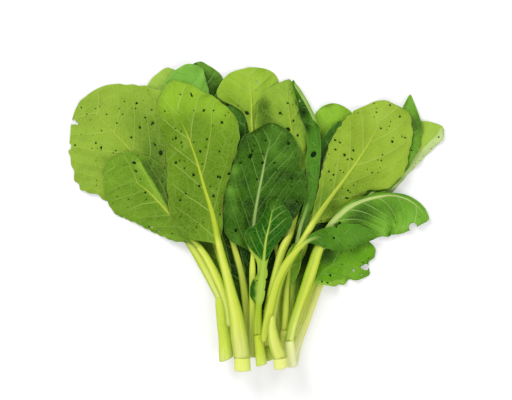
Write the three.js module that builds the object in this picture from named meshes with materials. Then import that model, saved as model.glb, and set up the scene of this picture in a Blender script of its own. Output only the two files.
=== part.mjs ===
// A bunch of choy sum laid flat: cut stems at -Y, leaves fanned towards +Y, +Z up, millimetres.
// Every leaf (blade and stalk grown as one) and every cut stem is a solid of its own.
import * as THREE from 'three';

// ---- driving dimensions, mm -------------------------------------------------------------------
const BLADE = 1.1;         // thickness of a leaf blade away from its midrib
const AIR = 1.0;           // clear space kept between one piece and the next one laid on it
const JOINT_GAP = 0.4;     // gap between a leaf stalk and the cut stem that it grows on
const CUT_Y = -135;        // line along which most of the stems are cut
const RIB_TIP = 0.7;       // half width of a midrib where it runs out at the leaf tip
const STALK_FLATNESS = 0.82;   // height of a leaf stalk over its width
const TIP_BLUNT = 0.3;     // width of a rounded leaf end over the width just before it
const BLADE_OPENS = 0.12;  // fraction of a blade over which the round stalk turns into a midrib
const MARGIN_MIN = 0.4;    // least reach of the blade beyond its midrib
const RIB_SHOULDER = [0.6, 0.8];   // a midrib's cross-section: height at a share of its half width
const RIB_FOOT = 0.12;     // height of that cross-section where it meets the blade
const RIB_SUNK = 0.1;      // height left of a midrib on the upper face of a leaf
const CUP_REACH = 8;       // least half width over which the margins rise or fall by the cup
const STEM_SIDES = 14;
const STEM_STATIONS = [0, 0.06, 0.28, 0.5, 0.72, 0.94, 1];   // fractions of a stem's length
const STEM_TURNS = 0.9;    // fraction beyond which a stem points along its leaf stalk
const STEM_END_SHARE = 0.93;   // width of a stem's rounded end over its full width
const SAG = 0.02;          // how readily a leaf hangs down between the things that it lies on

// ---- height map of the pile -------------------------------------------------------------------
const CELL = 1.5;          // spacing of the map
const REACH_X = 195;
const REACH_Y = 165;
const NX = Math.round(2 * REACH_X / CELL);
const NY = Math.round(2 * REACH_Y / CELL);
const SPREAD_CELLS = 1;    // how far the height under a piece is felt to each side
const STAMP_STEP = 0.45;   // spacing of the points that mark a face in the map, over the cell
const RELAX_SWEEPS = 160;
const SMOOTHING_SWEEPS = 2;
const SETTLE_ROUNDS = 24;
const CLEARANCE_KEPT = 0.6;    // part of AIR that has to be left after settling
const LIFT_EXTRA = 0.1;    // added in each round where a piece is still too low
const EMPTY = -1e9;

const GREEN_UNDER = '#93b84c';
const GREEN_TOP = '#3f7a28';
const GREEN_MID = '#5f9a38';
const STALK_GREEN = '#c3d465';
const STALK_PALE = '#dde59b';

// Stations along a leaf: fractions of the stalk, then fractions of the blade.
const STALK_STATIONS = [0, 0.25, 0.5, 0.78];
const BLADE_STATIONS = [0.01, 0.06, 0.14, 0.22, 0.3, 0.4, 0.5, 0.6, 0.7, 0.8, 0.88, 0.94, 0.98, 1];

// ---- the leaves, in the order in which they are laid down -------------------------------------
// path: midrib in plan from the stalk's cut or grown end to the leaf tip.
// blade: fraction of the path where the blade begins. stalk: width at the base and at the blade.
// left, right: half widths of the blade at fractions of its length, seen from the base.
// cup: how far the margins stand above (+) or below (-) the midrib. up: the face that is uppermost.
const PIECES = [
  { name: 'leaf_far_right', up: 'under', blade: 0.515, stalk: [10, 7], cup: -3,
    path: [[32, -134], [36, -116], [44, -94], [55, -65], [68, -38], [86, -10], [102, 14],
      [120, 34], [136, 50], [152, 66], [168, 81]],
    left: [[0.2, 14], [0.4, 22], [0.6, 26], [0.75, 27], [0.88, 20], [0.95, 12]],
    right: [[0.2, 11], [0.4, 11], [0.6, 9.5], [0.75, 9], [0.88, 9], [0.95, 8]] },
  { name: 'leaf_pointed', up: 'top', blade: 0.22, stalk: [6, 4], cup: 2,
    path: [[48, -66], [66, -26], [91, 8], [115, 32], [131, 55], [140, 77], [141, 95],
      [139, 110]],
    left: [[0.03, 12], [0.09, 17], [0.2, 20], [0.35, 20], [0.51, 17], [0.68, 14], [0.8, 12],
      [0.9, 11], [0.96, 6]],
    right: [[0.35, 7], [0.51, 10], [0.68, 11], [0.8, 9], [0.9, 4.5], [0.96, 2]] },
  { name: 'leaf_back_right', up: 'top', blade: 0.03, stalk: [5, 5], cup: 2,
    path: [[30, -96], [33, -66], [36, -40], [43, -4], [52, 32], [61, 59], [68, 82], [71, 102]],
    left: [[0.03, 6], [0.12, 9], [0.18, 13], [0.35, 14], [0.54, 12], [0.68, 15], [0.8, 17],
      [0.9, 17], [0.96, 15], [0.985, 9]],
    right: [[0.03, 5], [0.12, 8], [0.18, 11], [0.28, 15], [0.35, 20], [0.42, 21], [0.54, 14],
      [0.68, 16], [0.8, 19], [0.9, 20], [0.96, 17.5], [0.985, 11]] },
  { name: 'leaf_tucked', up: 'top', blade: 0.6, stalk: [6, 5], cup: 2,
    path: [[20, -113], [20.2, -84], [25, -60], [36, -42], [43, -28], [51, 10], [60, 46],
      [68, 68], [76, 86]],
    left: [[0.3, 8], [0.5, 10], [0.7, 10], [0.85, 7], [0.95, 4]],
    right: [[0.2, 10], [0.35, 17], [0.5, 22], [0.65, 24], [0.78, 17], [0.88, 9], [0.95, 4]] },
  { name: 'leaf_top_dark', up: 'top', blade: 0.03, stalk: [6, 5], cup: 3,
    path: [[-4, -106], [-8, -80], [-14, -57], [-21, -32], [-27, 0], [-35, 59], [-42, 100],
      [-48, 122], [-54, 139.5]],
    left: [[0.04, 8], [0.1, 10], [0.2, 12], [0.36, 12], [0.56, 14], [0.7, 22], [0.83, 25],
      [0.92, 25], [0.97, 18]],
    right: [[0.04, 5], [0.1, 7], [0.2, 11], [0.36, 12], [0.56, 12], [0.7, 15], [0.83, 17],
      [0.92, 17], [0.97, 9]] },
  { name: 'leaf_back_left', up: 'under', blade: 0.14, stalk: [6, 5], cup: -4,
    path: [[-20, -96], [-28, -58], [-46, -4], [-60, 41], [-72, 82], [-78, 109], [-81, 134]],
    left: [[0.06, 7], [0.14, 10], [0.25, 14], [0.35, 16], [0.55, 24], [0.73, 28], [0.86, 25],
      [0.94, 19], [0.98, 10]],
    right: [[0.06, 7], [0.14, 9], [0.3, 12], [0.55, 22], [0.73, 27], [0.87, 24], [0.96, 14]] },
  { name: 'leaf_top_round', up: 'top', blade: 0.5, stalk: [6, 4], cup: -2,
    path: [[-7, -117], [-8, -98], [-10.5, -75], [-14, -52], [-19.5, -32], [-30, 5], [-44, 59],
      [-55, 100], [-60, 121], [-64, 137]],
    left: [[0.3, 17], [0.5, 23], [0.7, 26], [0.85, 25], [0.95, 17]],
    right: [[0.3, 14], [0.5, 17], [0.7, 15], [0.85, 14], [0.95, 13]] },
  { name: 'leaf_far_left', up: 'under', blade: 0.358, stalk: [11, 6], cup: -6,
    path: [[-32, -73], [-44, -50], [-57, -28], [-77, 1], [-96, 30], [-113, 57], [-134, 80],
      [-149, 95], [-160, 104]],
    left: [[0.12, 17], [0.27, 33], [0.4, 47], [0.5, 55], [0.6, 57], [0.72, 50], [0.84, 39],
      [0.93, 26], [0.98, 14]],
    right: [[0.12, 16], [0.27, 36], [0.4, 46], [0.55, 54], [0.68, 57], [0.8, 47], [0.9, 33],
      [0.97, 17]],
    stem: { name: 'stem_left', path: [[-27.5, -129], [-28, -114], [-30.5, -95]],
      width: [12.5, 11] } },
  { name: 'leaf_low_left', up: 'under', blade: 0.4, stalk: [8, 6], cup: -7,
    path: [[-23, -98], [-27, -76], [-41, -45], [-51, -29], [-62, -16], [-77, 0], [-97, 21],
      [-109, 30], [-122, 40], [-135, 49]],
    left: [[0.1, 7], [0.22, 17], [0.4, 25], [0.55, 31], [0.7, 34], [0.82, 29], [0.92, 19],
      [0.98, 9]],
    right: [[0.1, 6], [0.22, 14], [0.4, 22], [0.55, 25], [0.7, 26], [0.82, 24], [0.92, 17],
      [0.98, 8]] },
  { name: 'leaf_behind_centre', up: 'top', blade: 0.03, stalk: [6, 4], cup: 2,
    path: [[2, -107], [0.5, -76], [-5, -22], [-8, 23], [-10, 59], [-11, 88], [-11, 110]],
    left: [[0.05, 5], [0.12, 7], [0.2, 8.5], [0.33, 11], [0.54, 18], [0.73, 23], [0.85, 23],
      [0.92, 19], [0.97, 11]],
    right: [[0.02, 6], [0.05, 8.5], [0.09, 11], [0.14, 15], [0.21, 20], [0.32, 28], [0.39, 30],
      [0.46, 25], [0.54, 18], [0.73, 20], [0.85, 21], [0.92, 17], [0.97, 10]] },
  { name: 'leaf_top_centre', up: 'under', blade: 0.72, stalk: [5, 4], cup: -3,
    path: [[13, -104], [14, -72], [19, -40], [12, -4], [2, 46], [-4, 77], [-5, 104], [-6, 120],
      [-7, 134.5]],
    left: [[0.12, 3], [0.27, 4.5], [0.39, 8], [0.48, 16], [0.54, 24], [0.6, 29.5], [0.67, 31],
      [0.75, 29.5], [0.83, 26], [0.9, 21.5], [0.96, 15]],
    right: [[0.05, 14], [0.12, 26], [0.25, 33], [0.42, 32], [0.56, 28], [0.7, 26], [0.8, 25.5],
      [0.88, 23], [0.94, 18.5], [0.98, 12]] },
  { name: 'leaf_centre_right', up: 'under', blade: 0.6, stalk: [7.2, 5], cup: -3,
    path: [[8, -117], [8, -98], [10, -82], [15, -59], [23, -31], [31, -12], [37, 14], [39, 34],
      [36, 52], [33, 68], [30, 88], [28, 106], [29, 123.5]],
    left: [[0.19, 13], [0.33, 25], [0.47, 33], [0.63, 32], [0.77, 28], [0.87, 23], [0.93, 14],
      [0.98, 6]],
    right: [[0.19, 9], [0.33, 12], [0.47, 9], [0.63, 11.5], [0.77, 11], [0.89, 9], [0.95, 6]],
    stem: { name: 'stem_thin', path: [[12, -129]], width: [8, 8] } },
  { name: 'leaf_folded', up: 'top', blade: 0.28, stalk: [5, 4], cup: 3,
    path: [[29.5, -98], [31, -76], [33, -45], [38, -14], [45, 8], [51, 30], [53, 50], [53, 68],
      [50, 84], [44, 99], [38, 111], [32, 122]],
    left: [[0.1, 3], [0.3, 4], [0.42, 7], [0.52, 11], [0.62, 13], [0.7, 12.5], [0.79, 9.5],
      [0.88, 6], [0.95, 3]],
    right: [[0.1, 5], [0.3, 5], [0.45, 4], [0.6, 4.5], [0.75, 4], [0.88, 3], [0.95, 2]] },
  { name: 'leaf_small_inner', up: 'under', blade: 0.46, stalk: [7, 5], cup: 1,
    path: [[25, -103], [25.8, -80], [27.2, -60], [30, -42], [35, -24]],
    left: [[0.1, 3.6], [0.3, 4.4], [0.6, 5.5], [0.85, 4]],
    right: [[0.1, 5], [0.3, 8], [0.55, 9.5], [0.85, 7]],
    stem: { name: 'stem_node', path: [[24, -123]], width: [5, 7.8] } },
  { name: 'leaf_centre_dark', up: 'top', blade: 0.436, stalk: [6.5, 4.4], cup: 4,
    path: [[-4.5, -127], [-4, -76], [-4, -41], [-3, -9], [1, 18], [4, 33], [8, 53], [12, 68],
      [13, 84]],
    left: [[0.06, 15], [0.12, 23], [0.2, 27], [0.35, 30], [0.48, 31], [0.6, 30], [0.72, 27],
      [0.85, 25], [0.94, 15]],
    right: [[0.06, 9], [0.15, 22], [0.3, 35], [0.45, 41], [0.6, 41], [0.72, 33.5], [0.85, 27],
      [0.94, 16]] },
  { name: 'leaf_front_left', up: 'under', blade: 0.405, stalk: [15, 6.4], cup: -7,
    path: [[-13.5, -126.5], [-15.5, -110], [-18.5, -90], [-24.5, -62], [-32.5, -31],
      [-39.5, 0], [-47.5, 26], [-54, 49], [-61, 69], [-69, 88], [-74, 105], [-75, 122]],
    left: [[0.03, 20], [0.1, 32], [0.2, 37], [0.35, 34], [0.5, 28], [0.65, 22.5], [0.78, 21],
      [0.89, 15], [0.96, 8]],
    right: [[0.08, 6], [0.175, 9], [0.25, 14], [0.35, 23], [0.43, 30], [0.5, 38], [0.58, 45],
      [0.65, 46], [0.78, 39.5], [0.89, 30], [0.96, 19]],
    stem: { name: 'stem_front', path: [[-13, -138]], width: [14.8, 14.4] } },
  { name: 'leaf_front_right', up: 'under', blade: 0.445, stalk: [7, 6], cup: -6,
    path: [[13, -106], [14.5, -86], [20.5, -58], [30.5, -38], [41, -22], [51, -5], [65, 15],
      [78, 32], [91, 50], [102, 67], [112, 86], [118, 104]],
    left: [[0.1, 7], [0.2, 12], [0.3, 19], [0.4, 23.5], [0.5, 28.5], [0.6, 31], [0.7, 30],
      [0.8, 28], [0.9, 21], [0.97, 11]],
    right: [[0.1, 13], [0.25, 23], [0.4, 23], [0.46, 30], [0.52, 38], [0.6, 40], [0.67, 40],
      [0.73, 37], [0.8, 34], [0.9, 28], [0.97, 20]] },
  { name: 'leaf_small_front', up: 'top', blade: 0.2, stalk: [7.6, 5.6], cup: 3,
    path: [[1, -106], [1, -88], [3, -66], [4.5, -52], [6, -40], [8, -22], [11, -9], [14, 5],
      [19, 16]],
    left: [[0.02, 4], [0.06, 8], [0.13, 9.4], [0.2, 9], [0.25, 7], [0.29, 4.2], [0.38, 5.5],
      [0.445, 9], [0.496, 13], [0.556, 17.5], [0.616, 20], [0.658, 18.5], [0.7, 14.5],
      [0.741, 10.5], [0.787, 8.5], [0.868, 7], [0.926, 7.5], [0.972, 6]],
    right: [[0.04, 3.4], [0.12, 4.4], [0.21, 4], [0.3, 5], [0.38, 3.5], [0.445, 4.5],
      [0.51, 6.5], [0.579, 10.5], [0.653, 14], [0.736, 17.5], [0.797, 20], [0.857, 19.5],
      [0.917, 15], [0.963, 9]],
    stem: { name: 'stem_centre', path: [[4, -133]], width: [10, 7.6] } },
  { name: 'leaf_right_low', up: 'top', blade: 0.42, stalk: [6, 4], cup: -2,
    path: [[33, -108], [40, -92], [46, -74], [52, -59], [62, -48], [76, -41], [90, -36.5],
      [107, -29]],
    left: [[0.06, 6], [0.15, 11], [0.3, 15], [0.5, 16], [0.7, 15], [0.88, 13], [0.95, 9]],
    right: [[0.04, 7], [0.1, 12.5], [0.2, 17.5], [0.3, 19], [0.4, 19.5], [0.5, 19.5],
      [0.62, 20], [0.72, 20.5], [0.79, 20], [0.81, 18], [0.825, 11.5], [0.87, 9.5],
      [0.92, 8.5], [0.96, 6]] },
  { name: 'leaf_right_curled', up: 'top', blade: 0.485, stalk: [9, 6.4], cup: -3,
    path: [[29, -112], [33, -95], [40, -74], [45, -60], [50, -45], [55, -30], [67, -7], [79, 5],
      [92, 12.5], [108, 17], [122, 18.5], [136, 15], [147, 7], [155, -4]],
    left: [[0.15, 3], [0.4, 3.5], [0.6, 2.5], [0.75, 3.5], [0.88, 4], [0.95, 3]],
    right: [[0.12, 9], [0.22, 24], [0.35, 33], [0.5, 37], [0.62, 37], [0.75, 37], [0.84, 36.5],
      [0.9, 35], [0.94, 33], [0.965, 28.5], [0.975, 24.5], [0.983, 19], [0.99, 13]],
    stem: { name: 'stem_right', path: [[30.6, CUT_Y]], width: [10.4, 8.4] } },
  { name: 'leaf_right_front', up: 'top', blade: 0.575, stalk: [7.4, 5], cup: -3,
    path: [[6, -112], [7.6, -101], [10.4, -88], [14.5, -70], [19, -56], [27, -41], [38, -28],
      [50, -20], [70, -17], [88, -17], [108, -19]],
    left: [[0.1, 3], [0.25, 6], [0.45, 8.5], [0.62, 10], [0.8, 9], [0.93, 5]],
    right: [[0.1, 3], [0.25, 9], [0.4, 13], [0.55, 14], [0.68, 12], [0.8, 9], [0.93, 4]] },
  { name: 'torn_stalk', up: 'under', blade: 1, stalk: [12.8, 5], cup: 0,
    path: [[20.5, -126], [15.5, -112], [13.5, -100], [13.6, -94], [14.2, -88]],
    stem: { name: 'stem_short', path: [[21.5, CUT_Y]], width: [13, 13] } },
];

// ---- small helpers ----------------------------------------------------------------------------
const mix = (a, b, t) => a + (b - a) * t;

function plan(points) {
  const curve = new THREE.CatmullRomCurve3(points.map(([x, y]) => new THREE.Vector3(x, y, 0)));
  curve.arcLengthDivisions = 400;
  return curve;
}

// Smooth half width of a blade at fraction f, zero at its start, blunt at its end.
function halfWidth(table, f) {
  if (!table || f <= 0) return 0;
  const last = table[table.length - 1];
  const knots = [[0, 0], ...table, [1, last[1] * TIP_BLUNT]];
  const k = Math.max(0, knots.findIndex(([at]) => at >= f) - 1);
  const [f0, w0] = knots[k];
  const [f1, w1] = knots[k + 1];
  const before = knots[Math.max(0, k - 1)];
  const after = knots[Math.min(knots.length - 1, k + 2)];
  const u = (f - f0) / (f1 - f0);
  const m0 = (w1 - before[1]) / (f1 - before[0]) * (f1 - f0);
  const m1 = (after[1] - w0) / (after[0] - f0) * (f1 - f0);
  const u2 = u * u;
  const u3 = u2 * u;
  const w = (2 * u3 - 3 * u2 + 1) * w0 + (u3 - 2 * u2 + u) * m0 + (3 * u2 - 2 * u3) * w1
    + (u3 - u2) * m1;
  return Math.max(0, w);
}

// Closed body from rows of equal point rings, with a fan over each end.
function loft(rows) {
  const around = rows[0].length;
  const points = rows.flat();
  const faces = [];
  for (let r = 0; r + 1 < rows.length; r += 1) {
    for (let i = 0; i < around; i += 1) {
      const j = (i + 1) % around;
      const a = r * around;
      const b = a + around;
      faces.push([a + i, b + i, b + j], [a + i, b + j, a + j]);
    }
  }
  for (const [r, turned] of [[0, false], [rows.length - 1, true]]) {
    const centre = new THREE.Vector3();
    rows[r].forEach((p) => centre.add(p));
    points.push(centre.divideScalar(around));
    const c = points.length - 1;
    for (let i = 0; i < around; i += 1) {
      const a = r * around + i;
      const b = r * around + (i + 1) % around;
      faces.push(turned ? [c, b, a] : [c, a, b]);
    }
  }
  let volume = 0;
  for (const [a, b, c] of faces) {
    volume += points[a].dot(new THREE.Vector3().crossVectors(points[b], points[c]));
  }
  if (volume < 0) faces.forEach((f) => f.reverse());
  return { points, faces };
}

// ---- a leaf: stalk, midrib and blade in one solid ---------------------------------------------
function leafSolid(piece) {
  const curve = plan(piece.path);
  const start = piece.blade;
  const stations = STALK_STATIONS.map((s) => s * start);
  if (start < 1) BLADE_STATIONS.forEach((s) => stations.push(mix(start, 1, s)));
  else stations.push(1);
  const rows = stations.map((t) => {
    const centre = curve.getPointAt(t);
    const along = curve.getTangentAt(t);
    const across = new THREE.Vector3(along.y, -along.x, 0);
    const f = start < 1 ? (t - start) / (1 - start) : -1;
    const stalk = Math.min(1, t / start);
    const rib = f <= 0 ? mix(piece.stalk[0], piece.stalk[1], stalk) / 2
      : mix(piece.stalk[1] / 2, RIB_TIP, Math.sqrt(f));
    const onBlade = THREE.MathUtils.smoothstep(f, 0, BLADE_OPENS);
    const ribUp = rib * STALK_FLATNESS * (piece.up === 'under' ? 1 : mix(1, RIB_SUNK, onBlade));
    const ribDown = rib * STALK_FLATNESS * (piece.up === 'under' ? mix(1, RIB_SUNK, onBlade) : 1);
    const wide = [halfWidth(piece.left, f), halfWidth(piece.right, f)];
    const edge = wide.map((w) => rib + Math.max(MARGIN_MIN, w - rib));
    const middles = edge.map((e) => (rib + e) / 2);
    const [share, high] = RIB_SHOULDER;
    const ribbed = [
      [-edge[0], 0], [-middles[0], 0], [-rib, RIB_FOOT], [-rib * share, high], [0, 1],
      [rib * share, high], [rib, RIB_FOOT], [middles[1], 0], [edge[1], 0]];
    const smooth = [
      [-edge[0], 0], [-mix(rib * share, middles[0], onBlade), mix(high, 0, onBlade)], [0, 1],
      [mix(rib * share, middles[1], onBlade), mix(high, 0, onBlade)], [edge[1], 0]];
    const above = piece.up === 'under' ? ribbed : smooth;
    const below = piece.up === 'under' ? smooth : ribbed;
    const widest = Math.max(CUP_REACH, ...wide);
    const place = ([v, bump], side) => {
      const lift = piece.cup * (v / widest) ** 2 * onBlade;
      const z = side > 0 ? BLADE / 2 + ribUp * bump : -BLADE / 2 - ribDown * bump;
      return new THREE.Vector3().copy(centre).addScaledVector(across, v).setZ(lift + z);
    };
    return [...above.map((s) => place(s, 1)), ...below.map((s) => place(s, -1)).reverse()];
  });
  return loft(rows);
}

// ---- a cut stem: a plain round stump, cut square, that ends just short of its leaf stalk ------
function stemSolid(stem, leafPath) {
  const leaf = plan(leafPath);
  const grown = leaf.getTangentAt(0);
  const end = leaf.getPointAt(0).addScaledVector(grown, -JOINT_GAP);
  const curve = plan([...stem.path, [end.x, end.y]]);
  const rows = STEM_STATIONS.map((t) => {
    const centre = curve.getPointAt(t);
    const along = t > STEM_TURNS ? grown : curve.getTangentAt(t);
    const across = new THREE.Vector3(along.y, -along.x, 0);
    const round = t === 0 || t === 1 ? STEM_END_SHARE : 1;
    const radius = mix(stem.width[0], stem.width[1], t) / 2 * round;
    return Array.from({ length: STEM_SIDES }, (_, i) => {
      const turn = i / STEM_SIDES * 2 * Math.PI;
      return new THREE.Vector3().copy(centre).addScaledVector(across, radius * Math.cos(turn))
        .setZ(radius * Math.sin(turn));
    });
  });
  return loft(rows);
}

// ---- laying the pieces on one another ---------------------------------------------------------
const cellOf = (x, y) => Math.floor((y + REACH_Y) / CELL) * NX + Math.floor((x + REACH_X) / CELL);

function stamp(solid, map, pick) {
  const put = (x, y, z) => {
    const i = cellOf(x, y);
    map[i] = pick(map[i], z);
  };
  for (const face of solid.faces) {
    const [a, b, c] = face.map((i) => solid.points[i]);
    const longest = Math.max(a.distanceTo(b), b.distanceTo(c), c.distanceTo(a));
    const steps = Math.max(1, Math.ceil(longest / (CELL * STAMP_STEP)));
    for (let i = 0; i <= steps; i += 1) {
      for (let j = 0; i + j <= steps; j += 1) {
        const u = i / steps;
        const w = j / steps;
        const q = 1 - u - w;
        put(a.x * q + b.x * u + c.x * w, a.y * q + b.y * u + c.y * w, a.z * q + b.z * u + c.z * w);
      }
    }
  }
}

function spread(map, cells) {
  let current = map;
  for (let pass = 0; pass < cells; pass += 1) {
    const next = Float64Array.from(current);
    for (let y = 1; y + 1 < NY; y += 1) {
      for (let x = 1; x + 1 < NX; x += 1) {
        const i = y * NX + x;
        for (const j of [i - 1, i + 1, i - NX, i + NX]) next[i] = Math.max(next[i], current[j]);
      }
    }
    current = next;
  }
  return current;
}

// Lift of a limp sheet over what it needs: never below the need when held, sagging in between.
function relax(need, sweeps, sag, held) {
  const lift = Float64Array.from(need);
  const covered = [];
  need.forEach((z, i) => {
    if (z > EMPTY / 2) covered.push(i);
  });
  const around = covered.map((i) => [i - 1, i + 1, i - NX, i + NX].filter(
    (j) => need[j] > EMPTY / 2));
  for (let sweep = 0; sweep < sweeps; sweep += 1) {
    for (let k = 0; k < covered.length; k += 1) {
      const at = sweep % 2 ? covered.length - 1 - k : k;
      const i = covered[at];
      let sum = 0;
      for (const j of around[at]) sum += lift[j];
      if (around[at].length > 0) {
        lift[i] = Math.max(held ? need[i] : EMPTY, sum / around[at].length - sag);
      }
    }
  }
  return lift;
}

function sample(map, x, y) {
  const gx = (x + REACH_X) / CELL - 0.5;
  const gy = (y + REACH_Y) / CELL - 0.5;
  const x0 = Math.floor(gx);
  const y0 = Math.floor(gy);
  let sum = 0;
  let weight = 0;
  for (const [dx, dy] of [[0, 0], [1, 0], [0, 1], [1, 1]]) {
    const value = map[(y0 + dy) * NX + x0 + dx];
    const w = Math.max(1e-6, (dx ? gx - x0 : 1 - gx + x0) * (dy ? gy - y0 : 1 - gy + y0));
    if (value > EMPTY / 2) {
      sum += value * w;
      weight += w;
    }
  }
  return sum / weight;
}

function settle(solids, pile) {
  const shape = solids.map((s) => s.points.map((p) => p.z));
  const low = new Float64Array(NX * NY).fill(-EMPTY);
  solids.forEach((s) => stamp(s, low, Math.min));
  const need = new Float64Array(NX * NY).fill(EMPTY);
  low.forEach((z, i) => {
    if (z < -EMPTY / 2) need[i] = pile[i] + AIR - z;
  });
  for (let round = 0; round < SETTLE_ROUNDS; round += 1) {
    const firm = relax(spread(need, SPREAD_CELLS), RELAX_SWEEPS, SAG, true);
    const lift = relax(firm, SMOOTHING_SWEEPS, 0, false);
    solids.forEach((s, k) => s.points.forEach((p, i) => {
      p.z = shape[k][i] + sample(lift, p.x, p.y);
    }));
    const after = new Float64Array(NX * NY).fill(-EMPTY);
    solids.forEach((s) => stamp(s, after, Math.min));
    let worst = 0;
    after.forEach((z, i) => {
      const short = z < -EMPTY / 2 ? pile[i] + AIR * CLEARANCE_KEPT - z : 0;
      if (short > 0) {
        need[i] += short + LIFT_EXTRA;
        worst = Math.max(worst, short);
      }
    });
    if (worst === 0) break;
  }
  solids.forEach((s) => stamp(s, pile, Math.max));
}

// ---- the bunch --------------------------------------------------------------------------------
const bunch = new THREE.Group();
bunch.name = 'choy_sum';

const colourOf = { under: GREEN_UNDER, top: GREEN_TOP };
const solids = [];
const pile = new Float64Array(NX * NY).fill(-AIR);
for (const piece of PIECES) {
  const leaf = { ...leafSolid(piece), name: piece.name, roughness: 0.55 };
  leaf.colour = piece.blade === 1 ? STALK_GREEN : colourOf[piece.up];
  if (piece.name === 'leaf_low_left' || piece.name === 'leaf_small_inner') leaf.colour = GREEN_MID;
  const group = [leaf];
  if (piece.stem) {
    const stem = { ...stemSolid(piece.stem, piece.path), name: piece.stem.name, roughness: 0.45 };
    stem.colour = piece.stem.name === 'stem_left' ? STALK_GREEN : STALK_PALE;
    group.push(stem);
  }
  settle(group, pile);
  solids.push(...group);
}

const box = new THREE.Box3();
solids.forEach((s) => s.points.forEach((p) => box.expandByPoint(p)));
const middle = box.getCenter(new THREE.Vector3());
for (const solid of solids) {
  const flat = solid.points.flatMap((p) => [p.x - middle.x, p.y - middle.y, p.z - box.min.z]);
  const geometry = new THREE.BufferGeometry();
  geometry.setAttribute('position', new THREE.Float32BufferAttribute(flat, 3));
  geometry.setIndex(solid.faces.flat());
  geometry.computeVertexNormals();
  const material = new THREE.MeshStandardMaterial({
    color: solid.colour, roughness: solid.roughness, metalness: 0 });
  const mesh = new THREE.Mesh(geometry, material);
  mesh.name = solid.name;
  bunch.add(mesh);
}

export default bunch;
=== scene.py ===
"""Choy sum: a bunch of leafy stalks lying flat, leaves fanned towards +Y, seen from straight above."""
import math

import bpy
import numpy as np
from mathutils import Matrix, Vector


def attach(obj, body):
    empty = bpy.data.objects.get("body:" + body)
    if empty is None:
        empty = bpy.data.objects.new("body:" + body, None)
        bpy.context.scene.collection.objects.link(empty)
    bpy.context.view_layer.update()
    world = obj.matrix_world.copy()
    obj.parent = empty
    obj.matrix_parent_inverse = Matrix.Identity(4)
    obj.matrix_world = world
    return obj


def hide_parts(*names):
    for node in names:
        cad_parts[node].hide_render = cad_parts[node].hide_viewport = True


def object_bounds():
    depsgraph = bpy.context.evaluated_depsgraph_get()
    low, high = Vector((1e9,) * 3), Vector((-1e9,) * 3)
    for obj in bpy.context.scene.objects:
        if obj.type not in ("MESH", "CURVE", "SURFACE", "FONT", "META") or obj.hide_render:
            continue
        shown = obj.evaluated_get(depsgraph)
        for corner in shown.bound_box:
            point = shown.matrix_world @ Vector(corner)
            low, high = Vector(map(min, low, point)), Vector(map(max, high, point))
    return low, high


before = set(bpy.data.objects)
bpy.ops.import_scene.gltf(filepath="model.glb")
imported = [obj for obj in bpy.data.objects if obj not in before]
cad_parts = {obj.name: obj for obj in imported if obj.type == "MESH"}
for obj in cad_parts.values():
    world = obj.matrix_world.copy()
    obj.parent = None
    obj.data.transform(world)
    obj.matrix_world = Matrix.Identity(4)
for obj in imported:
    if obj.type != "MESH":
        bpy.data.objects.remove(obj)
CAD_BOX = [list(corner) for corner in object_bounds()]

MM = 0.001
BLADE = 0.5             # thickness of a leaf blade, mm
AIR = 0.9               # space between a piece and what it lies on, mm
STEP = 1.5              # spacing of the points on a blade, mm
STALK_STEP = 2.6        # spacing of the points along a stalk, mm
RIB_COLUMNS = 5         # points from the middle of a midrib to its side
RIB_TIP = 0.3           # half width of a midrib at the leaf's tip, mm
BLADE_FROM = -4, 12     # mm before and after the end of the stalk, between which it opens into the blade
RIB_MARGIN = 1.02       # least half width of a blade against that of its midrib
RIB_LOSS = 0.8          # share of its thickness that a fading midrib loses
LEAST_WIDE = 4.0        # half width at which a narrow blade is reckoned, mm
EDGE_REACH = 40         # mm from the margin beyond which the looks no longer change
VEIN_SPACING = 16.0     # mm between side veins where a leaf lists none
VEIN_APART = 3.0        # least distance of two side veins, mm
VEIN_WANDER = 0.7       # how far a side vein strays, mm
SPARE_VEINS = 9         # veins reckoned below the blade's base, and one fewer beyond its tip
SHOT_SIZE = 0.4, 0.8    # half sizes of small random holes, mm
SHOT_CLEAR = 1.5        # least distance of such a hole from the midrib, mm
ROLL_SOFT, BAND_SOFT = 0.05, 0.08   # soft ends of rolls and bands, as a share of the blade
STALK_SKIN = 0.12       # thickness added round a stalk, mm
UNDER_DEEP = 0.9, 0.85  # depth of stalk and midrib on the underside against half their width
TOP_HIGH = 0.62, 0.03   # the same on the upper side
GROOVE_DEEP, GROOVE_WIDE = 0.30, 0.42   # groove on top of a stalk, as shares of half its width
CELL = 1.6              # spacing of the height map, mm
REACH_X, REACH_Y = 200.0, 170.0     # half its size, mm
SAG = 0.012             # how readily a blade hangs between the things it lies on
SWEEPS = 260            # rounds in which a hanging blade comes to rest
TRIES = 4               # times that a leaf is lifted clear of what it still touches
LEAST_AIR = 0.35        # share of AIR that has to be left everywhere
LEVER = 0.25            # how steeply a stalk may fall away from a raised cut stem
STIFF_REACH = 14        # mm of a stalk to each side that is held up by one high place
STIFF_BLUR = 19         # mm over which the line of a stalk is evened out
STEM_GAP = 0.06         # gap between a leaf stalk and the cut stem it grows on, mm
STEM_STEP = 2.0         # spacing of the rings of a stem, mm
CUT_FACE = (0.012, 0.1), (0.21, 0.45), (0.33, 0.7), (0.3, 0.84), (0.06, 0.93)   # depth mm, share of radius
CUT_RIM = 0.45          # mm over which a cut end is rounded
CUT_UNEVEN, CUT_FADE = 0.35, 6.0    # unevenness of a cut, mm, and the length over which it dies away
FAR_END = 0.97, 0.1     # share of the radius on the last two rings
LOBES = (0.02, 3), (0.012, 7)       # unroundness of a stem: share of the radius, number round it
AROUND = 40             # points round a stem
STEM_FLAT = 0.96        # height of a stem against its width
AXIS_STEP = 0.5         # spacing of the points of an axis, mm
TURN_BLUR = 14          # points to each side over which its direction is evened out
EMPTY = -1e9            # height where there is nothing
TURN = 6.3              # a little more than a full turn, for random phases


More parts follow.
